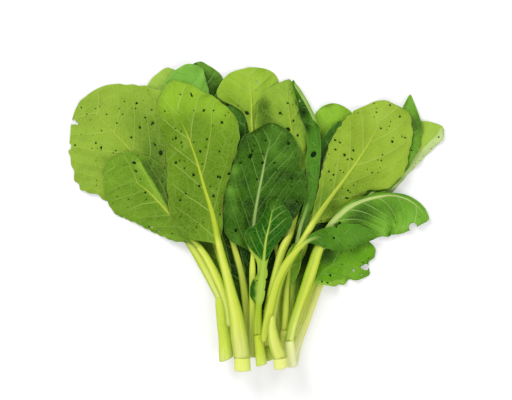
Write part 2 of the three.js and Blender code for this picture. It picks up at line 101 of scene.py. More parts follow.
# ---- curves
def spline(points, per=24):
    """Smooth curve through the points, densely sampled."""
    p = np.array(points, float)
    p = np.vstack([2 * p[0] - p[1], p, 2 * p[-1] - p[-2]])
    t = np.linspace(0, 1, per, endpoint=False)[:, None]
    runs = []
    for a, b, c, d in zip(p, p[1:], p[2:], p[3:]):
        runs.append(0.5 * (2 * b + (c - a) * t + (2 * a - 5 * b + 4 * c - d) * t ** 2
                           + (3 * b - a - 3 * c + d) * t ** 3))
    return np.vstack([*runs, p[-2:-1]])


def smooth(t, low=0.0, high=1.0):
    """0 below low, 1 above high and an even rise in between."""
    t = np.clip((t - low) / (high - low), 0, 1)
    return t * t * (3 - 2 * t)


def window(t, low, high, soft):
    """1 between low and high, with soft ends."""
    return smooth(t, low - soft, low + soft) * (1 - smooth(t, high - soft, high + soft))


def mix(a, b, t):
    return a + (b - a) * t


def from_table(table, t):
    """Value at t, in between the (t, value) pairs of a table."""
    return np.interp(t, [place for place, _ in table], [value for _, value in table])


def blurred(values, radius):
    kernel = np.hanning(2 * radius + 3)[1:-1]
    padded = np.pad(values, radius, mode="edge")
    return np.convolve(padded, kernel / kernel.sum(), mode="valid")


class Axis:
    """The midrib in plan: points, directions and arc length."""

    def __init__(self, path):
        curve = spline(path)
        arc = np.concatenate([[0], np.cumsum(np.linalg.norm(np.diff(curve, axis=0), axis=1))])
        self.length = arc[-1]
        self.s = np.linspace(0, self.length, int(self.length / AXIS_STEP) + 1)
        self.x = np.interp(self.s, arc, curve[:, 0])
        self.y = np.interp(self.s, arc, curve[:, 1])
        tx, ty = (blurred(np.gradient(places, self.s), TURN_BLUR) for places in (self.x, self.y))
        size = np.hypot(tx, ty)
        self.tx, self.ty = tx / size, ty / size

    def at(self, s):
        """Position and direction at arc length s; it runs on straight past both ends."""
        over = np.minimum(s, 0) + np.maximum(s - self.length, 0)
        tx, ty = np.interp(s, self.s, self.tx), np.interp(s, self.s, self.ty)
        x = np.interp(s, self.s, self.x) + over * tx
        y = np.interp(s, self.s, self.y) + over * ty
        return x, y, tx, ty

    def locate(self, x, y):
        """Arc length and sideways distance (right of the axis positive) of a place in plan."""
        k = int(np.argmin((self.x - x) ** 2 + (self.y - y) ** 2))
        dx, dy = x - self.x[k], y - self.y[k]
        return self.s[k] + dx * self.tx[k] + dy * self.ty[k], dx * self.ty[k] - dy * self.tx[k]


# ---- height map
NX, NY = int(2 * REACH_X / CELL), int(2 * REACH_Y / CELL)


def cells(x, y):
    """Row and column of the height map for places in plan."""
    return (np.clip(((y + REACH_Y) / CELL).astype(int), 0, NY - 1),
            np.clip(((x + REACH_X) / CELL).astype(int), 0, NX - 1))


NEXT = [(np.s_[1:], np.s_[:-1]), (np.s_[:-1], np.s_[1:]),
        (np.s_[:, 1:], np.s_[:, :-1]), (np.s_[:, :-1], np.s_[:, 1:])]


def spread(field):
    """Each cell takes the highest value of itself and its four neighbours."""
    wide = field.copy()
    for here, there in NEXT:
        wide[here] = np.maximum(wide[here], field[there])
    return wide


def neighbour_sum(field):
    total = np.zeros_like(field)
    for here, there in NEXT:
        total[here] += field[there]
    return total


def relaxed(need, sweeps, sag, held=True):
    """Lift of a limp sheet that is never below what it needs and sags in between."""
    inside = (need > EMPTY / 2).astype(float)
    rows, columns = np.nonzero(inside)
    part = np.s_[max(rows.min() - 2, 0):rows.max() + 3, max(columns.min() - 2, 0):columns.max() + 3]
    inside, floor = inside[part], need[part]
    count = np.maximum(neighbour_sum(inside), 1)
    lift = np.where(inside > 0, floor, 0.0)
    for _ in range(sweeps):
        lift = neighbour_sum(lift) / count - sag
        if held:
            lift = np.maximum(lift, floor)
        lift = np.where(inside > 0, lift, 0.0)
    out = np.full_like(need, EMPTY)
    out[part] = np.where(inside > 0, lift, EMPTY)
    return out


def sampled(field, x, y):
    """Value of the height map in between its cells, from those that are not empty."""
    gx, gy = (x + REACH_X) / CELL - 0.5, (y + REACH_Y) / CELL - 0.5
    x0, y0 = np.floor(gx).astype(int), np.floor(gy).astype(int)
    total, weight = np.zeros_like(gx), np.zeros_like(gx)
    for dx in (0, 1):
        for dy in (0, 1):
            value = field[np.clip(y0 + dy, 0, NY - 1), np.clip(x0 + dx, 0, NX - 1)]
            share = (gx - x0 if dx else 1 - gx + x0) * (gy - y0 if dy else 1 - gy + y0)
            share = np.where(value > EMPTY / 2, np.maximum(share, 1e-6), 0)
            total += np.where(value > EMPTY / 2, value, 0) * share
            weight += share
    return total / np.maximum(weight, 1e-12)


# ---- leaf bodies
def in_use(points, quads):
    """Which of the points a face uses."""
    seen = np.zeros(len(points), bool)
    seen[quads.ravel()] = True
    return seen


def beside(marked):
    """Points with a marked cell at one of their corners, from the cells with a border round them."""
    return marked[:-1, :-1] | marked[1:, :-1] | marked[:-1, 1:] | marked[1:, 1:]


def oval(ds, dv, long, short, turn):
    """Distance from the middle of an oval, 1 on its edge."""
    c, n = math.cos(turn), math.sin(turn)
    return np.hypot((ds * c + dv * n) / long, (dv * c - ds * n) / short)


def both_sides(value):
    """Values for the left and the right half, from a list of the two or one value for both."""
    return value if isinstance(value, list) else [value, value]


def walked(steps, middle, mirror):
    """Sum of the steps outwards from the middle column; to its left they count times mirror."""
    right = np.cumsum(steps[:, middle:], axis=1)
    left = np.cumsum(steps[:, :middle][:, ::-1], axis=1)[:, ::-1]
    return np.hstack([mirror * left, np.zeros((len(steps), 1)), right])


class Leaf:
    """One leaf: a closed shell with its stalk, midrib, blade, holes and bitten margins."""

    def __init__(self, spec):
        self.spec = spec
        self.rng = np.random.default_rng(spec["seed"])
        self.axis = Axis(spec["path"])
        self.start = spec["blade"] * self.axis.length
        self.flip = 1.0 if spec["up"] == "top" else -1.0
        self.outline()
        self.grid()
        self.cut_holes()
        self.veins()
        self.tones()
        self.shape()
        self.stitch()

    def outline(self):
        """Half widths of the blade, left and right of the midrib, from the points of its outline."""
        blade = self.axis.length - self.start
        left = [(f * blade, -w) for f, w in self.spec["left"]]
        right = [(f * blade, w) for f, w in reversed(self.spec["right"])]
        loop = spline([(0, 0), *left, (blade, 0), *right, (0, 0)], 40)
        tip = int(np.argmax(loop[:, 0]))
        self.sides = []
        for part in (loop[:tip + 1], loop[:tip - 1:-1]):
            run = np.maximum.accumulate(part[:, 0])
            self.sides.append((self.start + run, np.abs(part[:, 1])))
        self.length = self.start + loop[tip, 0]

    def fraction(self, s):
        """Place along the blade, 0 at its start and 1 at its tip."""
        return (s - self.start) / (self.length - self.start)

    def opened(self, s):
        """0 on the stalk and 1 on the blade."""
        return smooth(s, self.start + BLADE_FROM[0], self.start + BLADE_FROM[1])

    def width(self, s, side):
        """Half width of the blade on one side, with its uneven margin."""
        noise = 0.0
        for wave, size, turn in self.rough[side]:
            noise = noise + size * np.sin(2 * np.pi * s / wave + turn)
        base = np.interp(s, *self.sides[side], left=0.0)
        return base + noise * smooth(base, 3, 14)

    def full_width(self, s, side):
        """Half width with the strip that is rolled in laid flat; s has one row for each row of points."""
        return self.width(s, side) + self.extra[side].reshape((-1,) + (1,) * (s.ndim - 1))

    def rib(self, s):
        """Half width of stalk and midrib."""
        table = self.spec["stalk"]
        stalk = from_table([(t, w / 2) for t, w in table], s / self.start)
        taper = (1 - np.clip(self.fraction(s), 0, 1)) ** self.spec["rib_taper"]
        return np.where(s < self.start, stalk, (table[-1][1] / 2 - RIB_TIP) * taper + RIB_TIP)

    def on_side(self, side):
        return (self.V >= 0) == bool(side)

    def grid(self):
        """Rows of points from the stalk's end to the tip: S along the midrib, V to the right of it."""
        draw = self.rng.uniform
        self.rough = [[(draw(7, 26), draw(0.15, 0.5) * self.spec["rough"], draw(0, TURN)) for _ in range(5)]
                      for _ in range(2)]
        fine = np.linspace(0, self.length, 2400)
        wide = [self.width(fine, side) for side in range(2)]
        pace = np.diff(fine) / np.where(fine < self.start - 6, STALK_STEP, STEP)[1:]
        for w in wide:
            pace = np.maximum(pace, np.abs(np.diff(w)) / (2.2 * STEP) * (fine[1:] > self.start + 10))
        run = np.concatenate([[0], np.cumsum(pace)])
        rows = np.interp(np.linspace(0, run[-1], int(run[-1]) + 2), run, fine)
        self.rows = rows
        self.extra = [np.zeros_like(rows), np.zeros_like(rows)]
        self.rolls = []
        for side, first, last, strip, angle in self.spec["rolls"]:
            angle = math.radians(angle)
            share = window(self.fraction(rows), first, last, ROLL_SOFT)
            self.extra[side] += share * (strip - strip / angle * math.sin(min(angle, math.pi / 2)))
            self.rolls.append((side, share, strip, angle))
        a = self.rib(rows)[:, None]
        halves = []
        self.margins = []
        for side, w in enumerate(wide):
            n = RIB_COLUMNS + max(6, int(w.max() / STEP))
            j = np.arange(n + 1)[None, :]
            margin = np.maximum(self.full_width(rows, side), self.rib(rows) * RIB_MARGIN)[:, None]
            on_blade = np.where(j <= RIB_COLUMNS, a * j / RIB_COLUMNS,
                                a + (margin - a) * (j - RIB_COLUMNS) / (n - RIB_COLUMNS))
            on_stalk = a * np.sin(np.pi / 2 * j / n)
            halves.append(mix(on_stalk, on_blade, self.opened(rows)[:, None]))
            self.margins.append(margin)
        self.V = np.hstack([-halves[0][:, :0:-1], halves[1]])
        self.S = np.repeat(rows[:, None], self.V.shape[1], axis=1)
        self.middle = halves[0].shape[1] - 1

    def cut_holes(self):
        """Takes out the cells inside each hole and moves the points round it onto its edge."""
        self.kept = np.ones((self.S.shape[0] - 1, self.S.shape[1] - 1), bool)
        self.shade_sheet = ~self.kept
        for s0, v0, *size, shade_sheet in self.holes():
            middle_s = (self.S[1:, 1:] + self.S[:-1, :-1]) / 2
            middle_v = (self.V[1:, 1:] + self.V[:-1, :-1] + self.V[1:, :-1] + self.V[:-1, 1:]) / 4
            reach = oval(middle_s - s0, middle_v - v0, *size)
            inside = reach < 1.0
            if not inside.any():
                inside.flat[np.argmin(reach)] = True
            self.kept &= ~inside
            # painted shade: the cells of such a hole stay as a dark sheet in place of the shade seen through
            # it
            if shade_sheet:
                self.shade_sheet |= inside
            rim = beside(np.pad(inside, 1)) & beside(np.pad(~inside, 1, constant_values=True))
            far = oval(self.S - s0, self.V - v0, *size)
            scale = np.where(rim & (far > 0.05), 1 / np.maximum(far, 0.05), 1.0)
            self.S = s0 + (self.S - s0) * scale
            self.V = v0 + (self.V - v0) * scale

    def holes(self):
        """Listed holes, bites and small shot holes: s, v, two half sizes, turn, and whether a dark sheet of
        painted shade fills it.
        """
        spec, draw = self.spec, self.rng.uniform
        found = []
        for x, y, *size in spec["holes"]:
            long, short = (size + [size[0]])[:2]
            turn = size[2] if len(size) > 2 else draw(0, 3.1)
            found.append((*self.axis.locate(x, y), long / 2, short / 2, turn, True))
        for x, y, size in spec["bites"]:
            found.append((*self.axis.locate(x, y), size / 2, size / 2, 0.0, False))
        for _ in range(spec["shots"]):
            s = mix(self.start, self.length, draw(0.06, 0.96))
            side = int(self.rng.integers(2))
            w = float(self.width(np.array([s]), side)[0])
            v = (1 if side else -1) * w * draw(0.15, 0.95)
            if w < 6 or abs(v) < float(self.rib(np.array([s]))[0]) + SHOT_CLEAR:
                continue
            size = draw(*SHOT_SIZE) * (1.5 if self.rng.random() < 0.2 else 1.0)
            found.append((s, v, size * draw(1, 1.35), size, draw(0, 3.1), True))
        return found

    def veins(self):
        """Running number of the side veins, and how many mm one number spans."""
        blade = self.length - self.start
        self.phase = np.zeros_like(self.S)
        self.span = np.ones_like(self.S)
        x = np.abs(self.V)
        place = self.S + VEIN_WANDER * self.noise(4, 30, 70) * smooth(x, 2, 20)
        for side, (given, leans) in enumerate(zip(self.spec["veins"], both_sides(self.spec["vein_lean"]))):
            if given is None:
                count = max(4, int(blade / VEIN_SPACING))
                given = (np.arange(count) + 0.35 + 0.4 * side) / count
                given = given + self.rng.uniform(-0.2, 0.2, count) / count
            roots = np.sort(self.start + np.array(given) * blade)
            gap = np.diff(roots).mean()
            roots = np.concatenate([roots[0] - gap * np.arange(SPARE_VEINS, 0, -1), roots,
                                    roots[-1] + gap * np.arange(1, SPARE_VEINS)])
            near_base, near_tip, bend = leans
            share = np.clip((roots - self.start) / blade, 0, 1)
            lean = mix(near_base, near_tip, share) + self.rng.uniform(-0.13, 0.13, len(roots))
            curve = bend * (1 + self.rng.uniform(-0.5, 0.5, len(roots)))
            mine = self.on_side(side)
            last = roots[0] + lean[0] * x + curve[0] * x ** 2
            for k in range(1, len(roots)):
                line = np.maximum(roots[k] + lean[k] * x + curve[k] * x ** 2, last + VEIN_APART)
                inside = mine & (place >= last) & (place < line)
                self.phase = np.where(inside, k - 1 + (place - last) / (line - last), self.phase)
                slope = lean[k] + 2 * curve[k] * x
                self.span = np.where(inside, (line - last) / np.sqrt(1 + slope ** 2), self.span)
                last = line

    def tones(self):
        """Painted light (above 0) and painted shade (below 0): patches, margin bands and fold lines, with
        the paler tissue at the base where a leaf has a wash.
        """
        spec, out = self.spec, np.abs(self.V)
        x, y, tx, ty = self.axis.at(self.S)
        x, y = x + self.V * ty, y - self.V * tx
        self.tone = np.zeros_like(self.S)
        for px, py, reach, amount in spec["tones"]:
            self.tone += amount * np.exp(-((x - px) ** 2 + (y - py) ** 2) / reach ** 2)
        for first, last, rise, amount in spec["washes"]:
            self.tone += amount * (1 - smooth(self.fraction(self.S - rise * out), first, last))
        for x0, y0, x1, y1, reach, amount in spec["folds"]:
            long = math.hypot(x1 - x0, y1 - y0)
            ahead = ((x - x0) * (x1 - x0) + (y - y0) * (y1 - y0)) / long
            right = ((x - x0) * (y1 - y0) - (y - y0) * (x1 - x0)) / long
            ends = smooth(ahead, -3, 6) * (1 - smooth(ahead, long - 8, long + 4))
            self.tone += amount * ends * smooth(right, -0.8, 0.8) * (1 - smooth(right, 0, reach))
        for side, first, last, width, amount in spec["bands"]:
            share = window(self.fraction(self.S), first, last, BAND_SOFT)
            inward = 1 - smooth(self.full_width(self.S, side) - out, 0.6 * width, 1.1 * width)
            self.tone += np.where(self.on_side(side), amount * share * inward, 0)

    def noise(self, waves, low, high):
        """Sum of waves across the blade, each between low and high mm long."""
        total = np.zeros_like(self.S)
        for _ in range(waves):
            wave, way, turn = (self.rng.uniform(*ends) for ends in ((low, high), (0, TURN), (0, TURN)))
            total += np.sin(2 * np.pi / wave * (self.S * math.cos(way) + self.V * math.sin(way)) + turn)
        return total / math.sqrt(waves)

    def shape(self):
        """Places both faces in space, lying flat; settle() lifts them onto the pile."""
        spec, S, V = self.spec, self.S, self.V
        self.on_blade = self.opened(S)
        right = self.on_side(1)
        wide = np.maximum(np.where(right, self.full_width(S, 1), self.full_width(S, 0)), LEAST_WIDE)
        self.edge = np.clip(wide - np.abs(V), 0, EDGE_REACH)
        out = np.clip(np.abs(V) / wide, 0, 1.2)
        # rolled margins: the cross-section turns by theta as it is walked outwards from the midrib
        theta = np.zeros_like(S)
        for side, share, strip, angle in self.rolls:
            past = np.clip((np.abs(V) - (self.margins[side] - strip)) / strip, 0, 1)
            theta += np.where(self.on_side(side), past * share[:, None] * angle, 0)
        dv = np.diff(V, axis=1)
        slope = (theta[:, 1:] + theta[:, :-1]) / 2
        X = V[:, self.middle:self.middle + 1] + walked(dv * np.cos(slope), self.middle, -1)
        Z = walked(dv * np.sin(slope), self.middle, 1)
        lean = np.where(right, theta, -theta)
        # cupping, bulges between the veins, slow waves, crinkles and ruffles
        bump = self.on_blade * smooth(np.abs(V), 1.0, 9.0)
        cup_left, cup_right = both_sides(spec["cup"])
        Z += self.on_blade * np.where(right, cup_right, cup_left) * out ** 2
        bulge = np.sin(np.pi * self.phase) ** 2 * bump * (1 - smooth(out, 0.75, 1.0) * 0.6)
        Z += self.flip * spec["pucker"] * bulge
        Z += spec["wave"] * self.noise(5, 40, 90) * bump
        Z += spec["crinkle"] * self.noise(9, 9, 22) * bump
        ruffle = np.zeros_like(S)
        for side in range(2):
            for wave in (self.rng.uniform(24, 38), self.rng.uniform(13, 19)):
                part = np.sin(2 * np.pi * S / wave + self.rng.uniform(0, TURN)) * (wave / 30)
                ruffle += np.where(self.on_side(side), part, 0)
        Z += spec["ruffle"] * ruffle * self.on_blade * smooth(out, 0.55, 1.0)
        # thickness: the stalk is a round bar with a shallow groove on its upper side
        rib = self.rib(S)
        self.bar = np.clip(V / rib, -1.3, 1.3)
        x = np.clip(np.abs(V) / rib, 0, 1)
        round_under = np.sqrt(np.maximum(1 - x ** 2, 0))
        fade = smooth(self.fraction(S), *spec["rib_fade"])
        rib = rib * (1 - RIB_LOSS * fade)
        thin = mix(STALK_SKIN, BLADE / 2, self.on_blade)
        under = thin + rib * mix(*UNDER_DEEP, self.on_blade) * round_under
        groove = GROOVE_DEEP * np.exp(-(x / GROOVE_WIDE) ** 2)
        top = thin + rib * mix(*TOP_HIGH, self.on_blade) * np.maximum(round_under - groove, 0.0)
        high, low = (top, under) if self.flip > 0 else (under, top)
        px, py, tx, ty = self.axis.at(np.clip(S, 0, self.length))
        self.faces = []
        for thick in (high, -low):
            across = X - thick * np.sin(lean)
            height = Z + thick * np.cos(lean)
            place = np.stack([px + across * ty, py - across * tx, height], axis=-1)
            self.faces.append(place.reshape(-1, 3))
        self.stalkness = 1 - smooth(S, self.start + BLADE_FROM[0], self.start + 25)
        self.rib_mask = smooth(1.08 - np.abs(self.bar), 0, 0.3) * (1 - fade)

    def shell(self, kept):
        """Quads of a closed shell over the kept cells: both sides and a wall where a kept cell ends."""
        index = np.arange(self.S.size).reshape(self.S.shape)
        a, b, c, d = index[:-1, :-1], index[:-1, 1:], index[1:, 1:], index[1:, :-1]
        quads = np.stack([a, b, c, d], axis=-1)[kept]
        ringed = np.pad(kept, 1)
        walls = []
        for next_cell, p, q in ((ringed[:-2, 1:-1], a, b), (ringed[2:, 1:-1], c, d),
                                (ringed[1:-1, :-2], d, a), (ringed[1:-1, 2:], b, c)):
            edge = kept & ~next_cell
            p, q = p[edge], q[edge]
            walls.append(np.stack([q, p, p + index.size, q + index.size], axis=-1))
        return quads, quads[:, ::-1] + index.size, np.vstack(walls)

    def stitch(self):
        """The leaf's shell, and the thin dark sheet in its holes: painted shade in place of the shade seen
        through them.
        """
        high, low = self.faces
        parts, shade_sheet = self.shell(self.kept), self.shell(self.shade_sheet)
        self.counts = [[len(part) for part in group] for group in (parts, shade_sheet)]
        self.quads = np.vstack([*parts, *[part + 2 * len(high) for part in shade_sheet]])
        self.points = np.vstack([high, low, mix(high, low, 0.25), mix(high, low, 0.75)])


class Stem:
    """A cut stem: a tube with a cut, slightly uneven end."""

    def __init__(self, spec, leaf_axis):
        self.spec = spec
        rng = np.random.default_rng(spec["seed"])
        x, y, _, _ = leaf_axis.at(np.array([-STEM_GAP]))
        axis = Axis([*spec["path"], (x[0], y[0])])
        turn = np.linspace(0, 2 * np.pi, AROUND, endpoint=False)
        lobes = 1
        for size, count in LOBES:
            lobes = lobes + size * np.sin(count * turn + rng.uniform(0, 6))
        s = np.linspace(0, axis.length, max(8, int(axis.length / STEM_STEP)))
        radius = from_table([(t, w / 2) for t, w in spec["width"]], s / axis.length)
        s[0] = CUT_RIM
        # rings: place along the stem, radius, and how far inside the cut face
        rings = [(at, radius[0] * share, 1 - share) for at, share in CUT_FACE]
        rings += [(at, r, 0.0) for at, r in zip(s, radius)]
        rings += [(axis.length, radius[-1] * share, 0.0) for share in FAR_END]
        points, along = [], []
        for at, r, _ in rings:
            uneven = CUT_UNEVEN * np.sin(2 * turn + 1.0) * (r * lobes > radius[0] * 0.5)
            across = r * lobes * np.cos(turn)
            at = at + np.exp(-at / CUT_FADE) * (spec.get("slant", 0) * across + uneven)
            px, py, dx, dy = axis.at(at)
            height = r * lobes * np.sin(turn) * STEM_FLAT
            points.append(np.stack([px + across * dy, py - across * dx, height], axis=-1))
            along.append(at)
        index = np.arange(len(rings) * AROUND).reshape(-1, AROUND)
        after = np.roll(index, -1, axis=1)
        self.points = np.vstack(points)
        self.quads = np.stack([index[:-1], after[:-1], after[1:], index[1:]], axis=-1).reshape(-1, 4)
        self.caps = [index[0][::-1], index[-1]]
        self.attributes = {"cut": np.repeat([mark for _, _, mark in rings], AROUND),
                           "along": np.concatenate(along), "angle": np.tile(turn, len(rings))}


# ---- laying them on the pile
def all_points(leaf, stem):
    """The points of a leaf and of the cut stem that it grows on."""
    points = leaf.points[in_use(leaf.points, leaf.quads)]
    return points if stem is None else np.vstack([points, stem.points])


def lowest(points):
    """Height map of the underside of the points."""
    low = np.full((NY, NX), -EMPTY)
    np.minimum.at(low, cells(points[:, 0], points[:, 1]), points[:, 2])
    return low


def stiff_line(rows, heights):
    """Heights of a stalk that is held up by the highest places near it, evened out along its length."""
    even = np.arange(0, rows[-1] + 1.0, 1.0)
    line = np.interp(even, rows, heights)
    wide = line.copy()
    for k in range(1, STIFF_REACH):
        wide[k:] = np.maximum(wide[k:], line[:-k])
        wide[:-k] = np.maximum(wide[:-k], line[k:])
    return np.interp(rows, even, blurred(wide, STIFF_BLUR))


def settle(leaf, stem, pile):
    """Lays a leaf with its stem on the pile: the blade is limp and the stalk is stiff."""
    low = lowest(all_points(leaf, stem))
    need = np.where(low < -EMPTY / 2, spread(pile) + AIR - low, EMPTY)
    shape = leaf.points[:, 2].copy()
    stem_shape = None if stem is None else stem.points[:, 2].copy()
    for _ in range(TRIES):
        lift = relaxed(relaxed(spread(need), SWEEPS, SAG), 3, 0.0, held=False)
        flat = leaf.points[:leaf.S.size]
        limp = sampled(lift, flat[:, 0], flat[:, 1]).reshape(leaf.S.shape)
        line = stiff_line(leaf.rows, limp.max(axis=1)) - leaf.spec["tilt"] * leaf.rows
        if stem is not None:
            at_stem = sampled(lift, stem.points[:, 0], stem.points[:, 1]).max()
            line = np.maximum(line, at_stem - leaf.rows * LEVER)
            stem.points[:, 2] = stem_shape + line[0]
        both = mix(limp, line[:, None], leaf.stalkness)
        leaf.points[:, 2] = shape + np.tile(both.ravel(), 4)
        spots = all_points(leaf, stem)
        low = lowest(spots)
        short = np.where(low < -EMPTY / 2, pile + LEAST_AIR * AIR - low, 0)
        if short.max() <= 0:
            break
        need = np.where(short > 0, need + short + 0.1, need)
    np.maximum.at(pile, cells(spots[:, 0], spots[:, 1]), spots[:, 2])


# ---- materials
def rgb(*shown):
    """Linear colour from the 0-255 values that a screen shows."""
    return tuple((c / 12.92 if c <= 0.04045 else ((c + 0.055) / 1.055) ** 2.4)
                 for c in (value / 255 for value in shown)) + (1.0,)


class Value:
    """A number in a node tree, with the usual arithmetic."""

    def __init__(self, nodes, socket):
        self.nodes, self.socket = nodes, socket

    def __add__(self, other):
        return self.nodes.math("ADD", self, other)

    def __sub__(self, other):
        return self.nodes.math("SUBTRACT", self, other)

    def __rsub__(self, other):
        return self.nodes.math("SUBTRACT", other, self)

    def __mul__(self, other):
        return self.nodes.math("MULTIPLY", self, other)

    def __truediv__(self, other):
        return self.nodes.math("DIVIDE", self, other)

    def __abs__(self):
        return self.nodes.math("ABSOLUTE", self)


class Nodes:
    """Short way to write a node tree."""

    def __init__(self, name, holder=None):
        self.material = holder or bpy.data.materials.new(name)
        self.material.use_nodes = True
        self.tree = self.material.node_tree
        self.tree.nodes.clear()

    def add(self, kind, settings=None, **inputs):
        """New node; an input is given by its name or as i and its number."""
        node = self.tree.nodes.new(kind)
        for key, value in (settings or {}).items():
            setattr(node, key, value)
        for key, value in inputs.items():
            self.set(node.inputs[int(key[1:]) if key[1:].isdigit() else key.replace("_", " ")], value)
        return node

    def set(self, socket, value):
        if isinstance(value, Value):
            value = value.socket
        if isinstance(value, bpy.types.NodeSocket):
            self.tree.links.new(value, socket)
        else:
            socket.default_value = value

    def value(self, kind, settings=None, **inputs):
        """First output of a new node."""
        return Value(self, self.add(kind, settings, **inputs).outputs[0])

    def math(self, operation, a, b=0.0):
        return self.value("ShaderNodeMath", {"operation": operation}, i0=a, i1=b)

    def attributes(self, *names):
        return [Value(self, self.add("ShaderNodeAttribute", {"attribute_name": name}).outputs["Fac"])
                for name in names]

    def seen(self):
        """1 for the rays that show a background: straight to the camera, in a gloss or through glass."""
        ray = self.add("ShaderNodeLightPath").outputs
        beyond = self.math("MAXIMUM", ray["Is Glossy Ray"], ray["Is Transmission Ray"])
        return self.math("MAXIMUM", ray["Is Camera Ray"], beyond)

    def ramp(self, value, low, high, out_low=0.0, out_high=1.0):
        return self.value("ShaderNodeMapRange", {"interpolation_type": "SMOOTHSTEP"},
                          i0=value, i1=low, i2=high, i3=out_low, i4=out_high)

    def colour(self, share, a, b):
        node = self.add("ShaderNodeMix", {"data_type": "RGBA"}, i0=share, i6=a, i7=b)
        return node.outputs[2]

    def vector(self, x, y, z):
        return self.value("ShaderNodeCombineXYZ", i0=x, i1=y, i2=z)

    def noise(self, where, scale, rough=0.5):
        return self.value("ShaderNodeTexNoise", Vector=where, Scale=scale, Detail=3.0, Roughness=rough)

    def cells(self, where, scale):
        return self.value("ShaderNodeTexVoronoi", {"feature": "DISTANCE_TO_EDGE"}, Vector=where, Scale=scale)

    def output(self, kind, shader):
        self.add(kind, i0=shader.outputs[0])

    def surface(self, colour, rough, height, specular):
        """Finished material with a colour, roughness, relief in mm and strength of the gloss."""
        bump = self.add("ShaderNodeBump", Strength=1.0, Distance=MM, Height=height)
        shader = self.add("ShaderNodeBsdfPrincipled", Base_Color=colour, Roughness=rough,
                          Normal=bump.outputs[0], Specular_IOR_Level=specular)
        self.output("ShaderNodeOutputMaterial", shader)
        return self.material


HOLE_SHADE_TOP = rgb(14, 34, 4)               # painted shade: dark sheet in a hole in place of the shade seen through it, from the upper side
HOLE_SHADE_UNDER = rgb(30, 48, 8)
STALK_STREAK = rgb(178, 206, 48)
FLESH = rgb(236, 238, 190)              # cut face of a stem
FLESH_RING = rgb(202, 216, 118)
FLESH_GRAIN = rgb(214, 222, 140)
NET_CELL, MESH_CELL = 0.105, 0.36       # cells per mm in the two nets of small veins
NET_SHOW, MESH_SHOW = 0.14, 0.1         # how much of the vein colour they take
MARGIN_SHOW = 0.25                      # the same for the thin line along the margin
PALE_UNTIL = 40.0                       # mm over which a stalk goes from its base colour to the next
ROUGH_TOP, ROUGH_UNDER = 0.46, 0.6      # roughness of the two sides
MAP_EDGE, MAP_GAP = 0.005, 0.03         # space round the flat map and between its sides
MAP_WALL = 0.012, 0.009                 # strip for the walls, from the edge of the second side


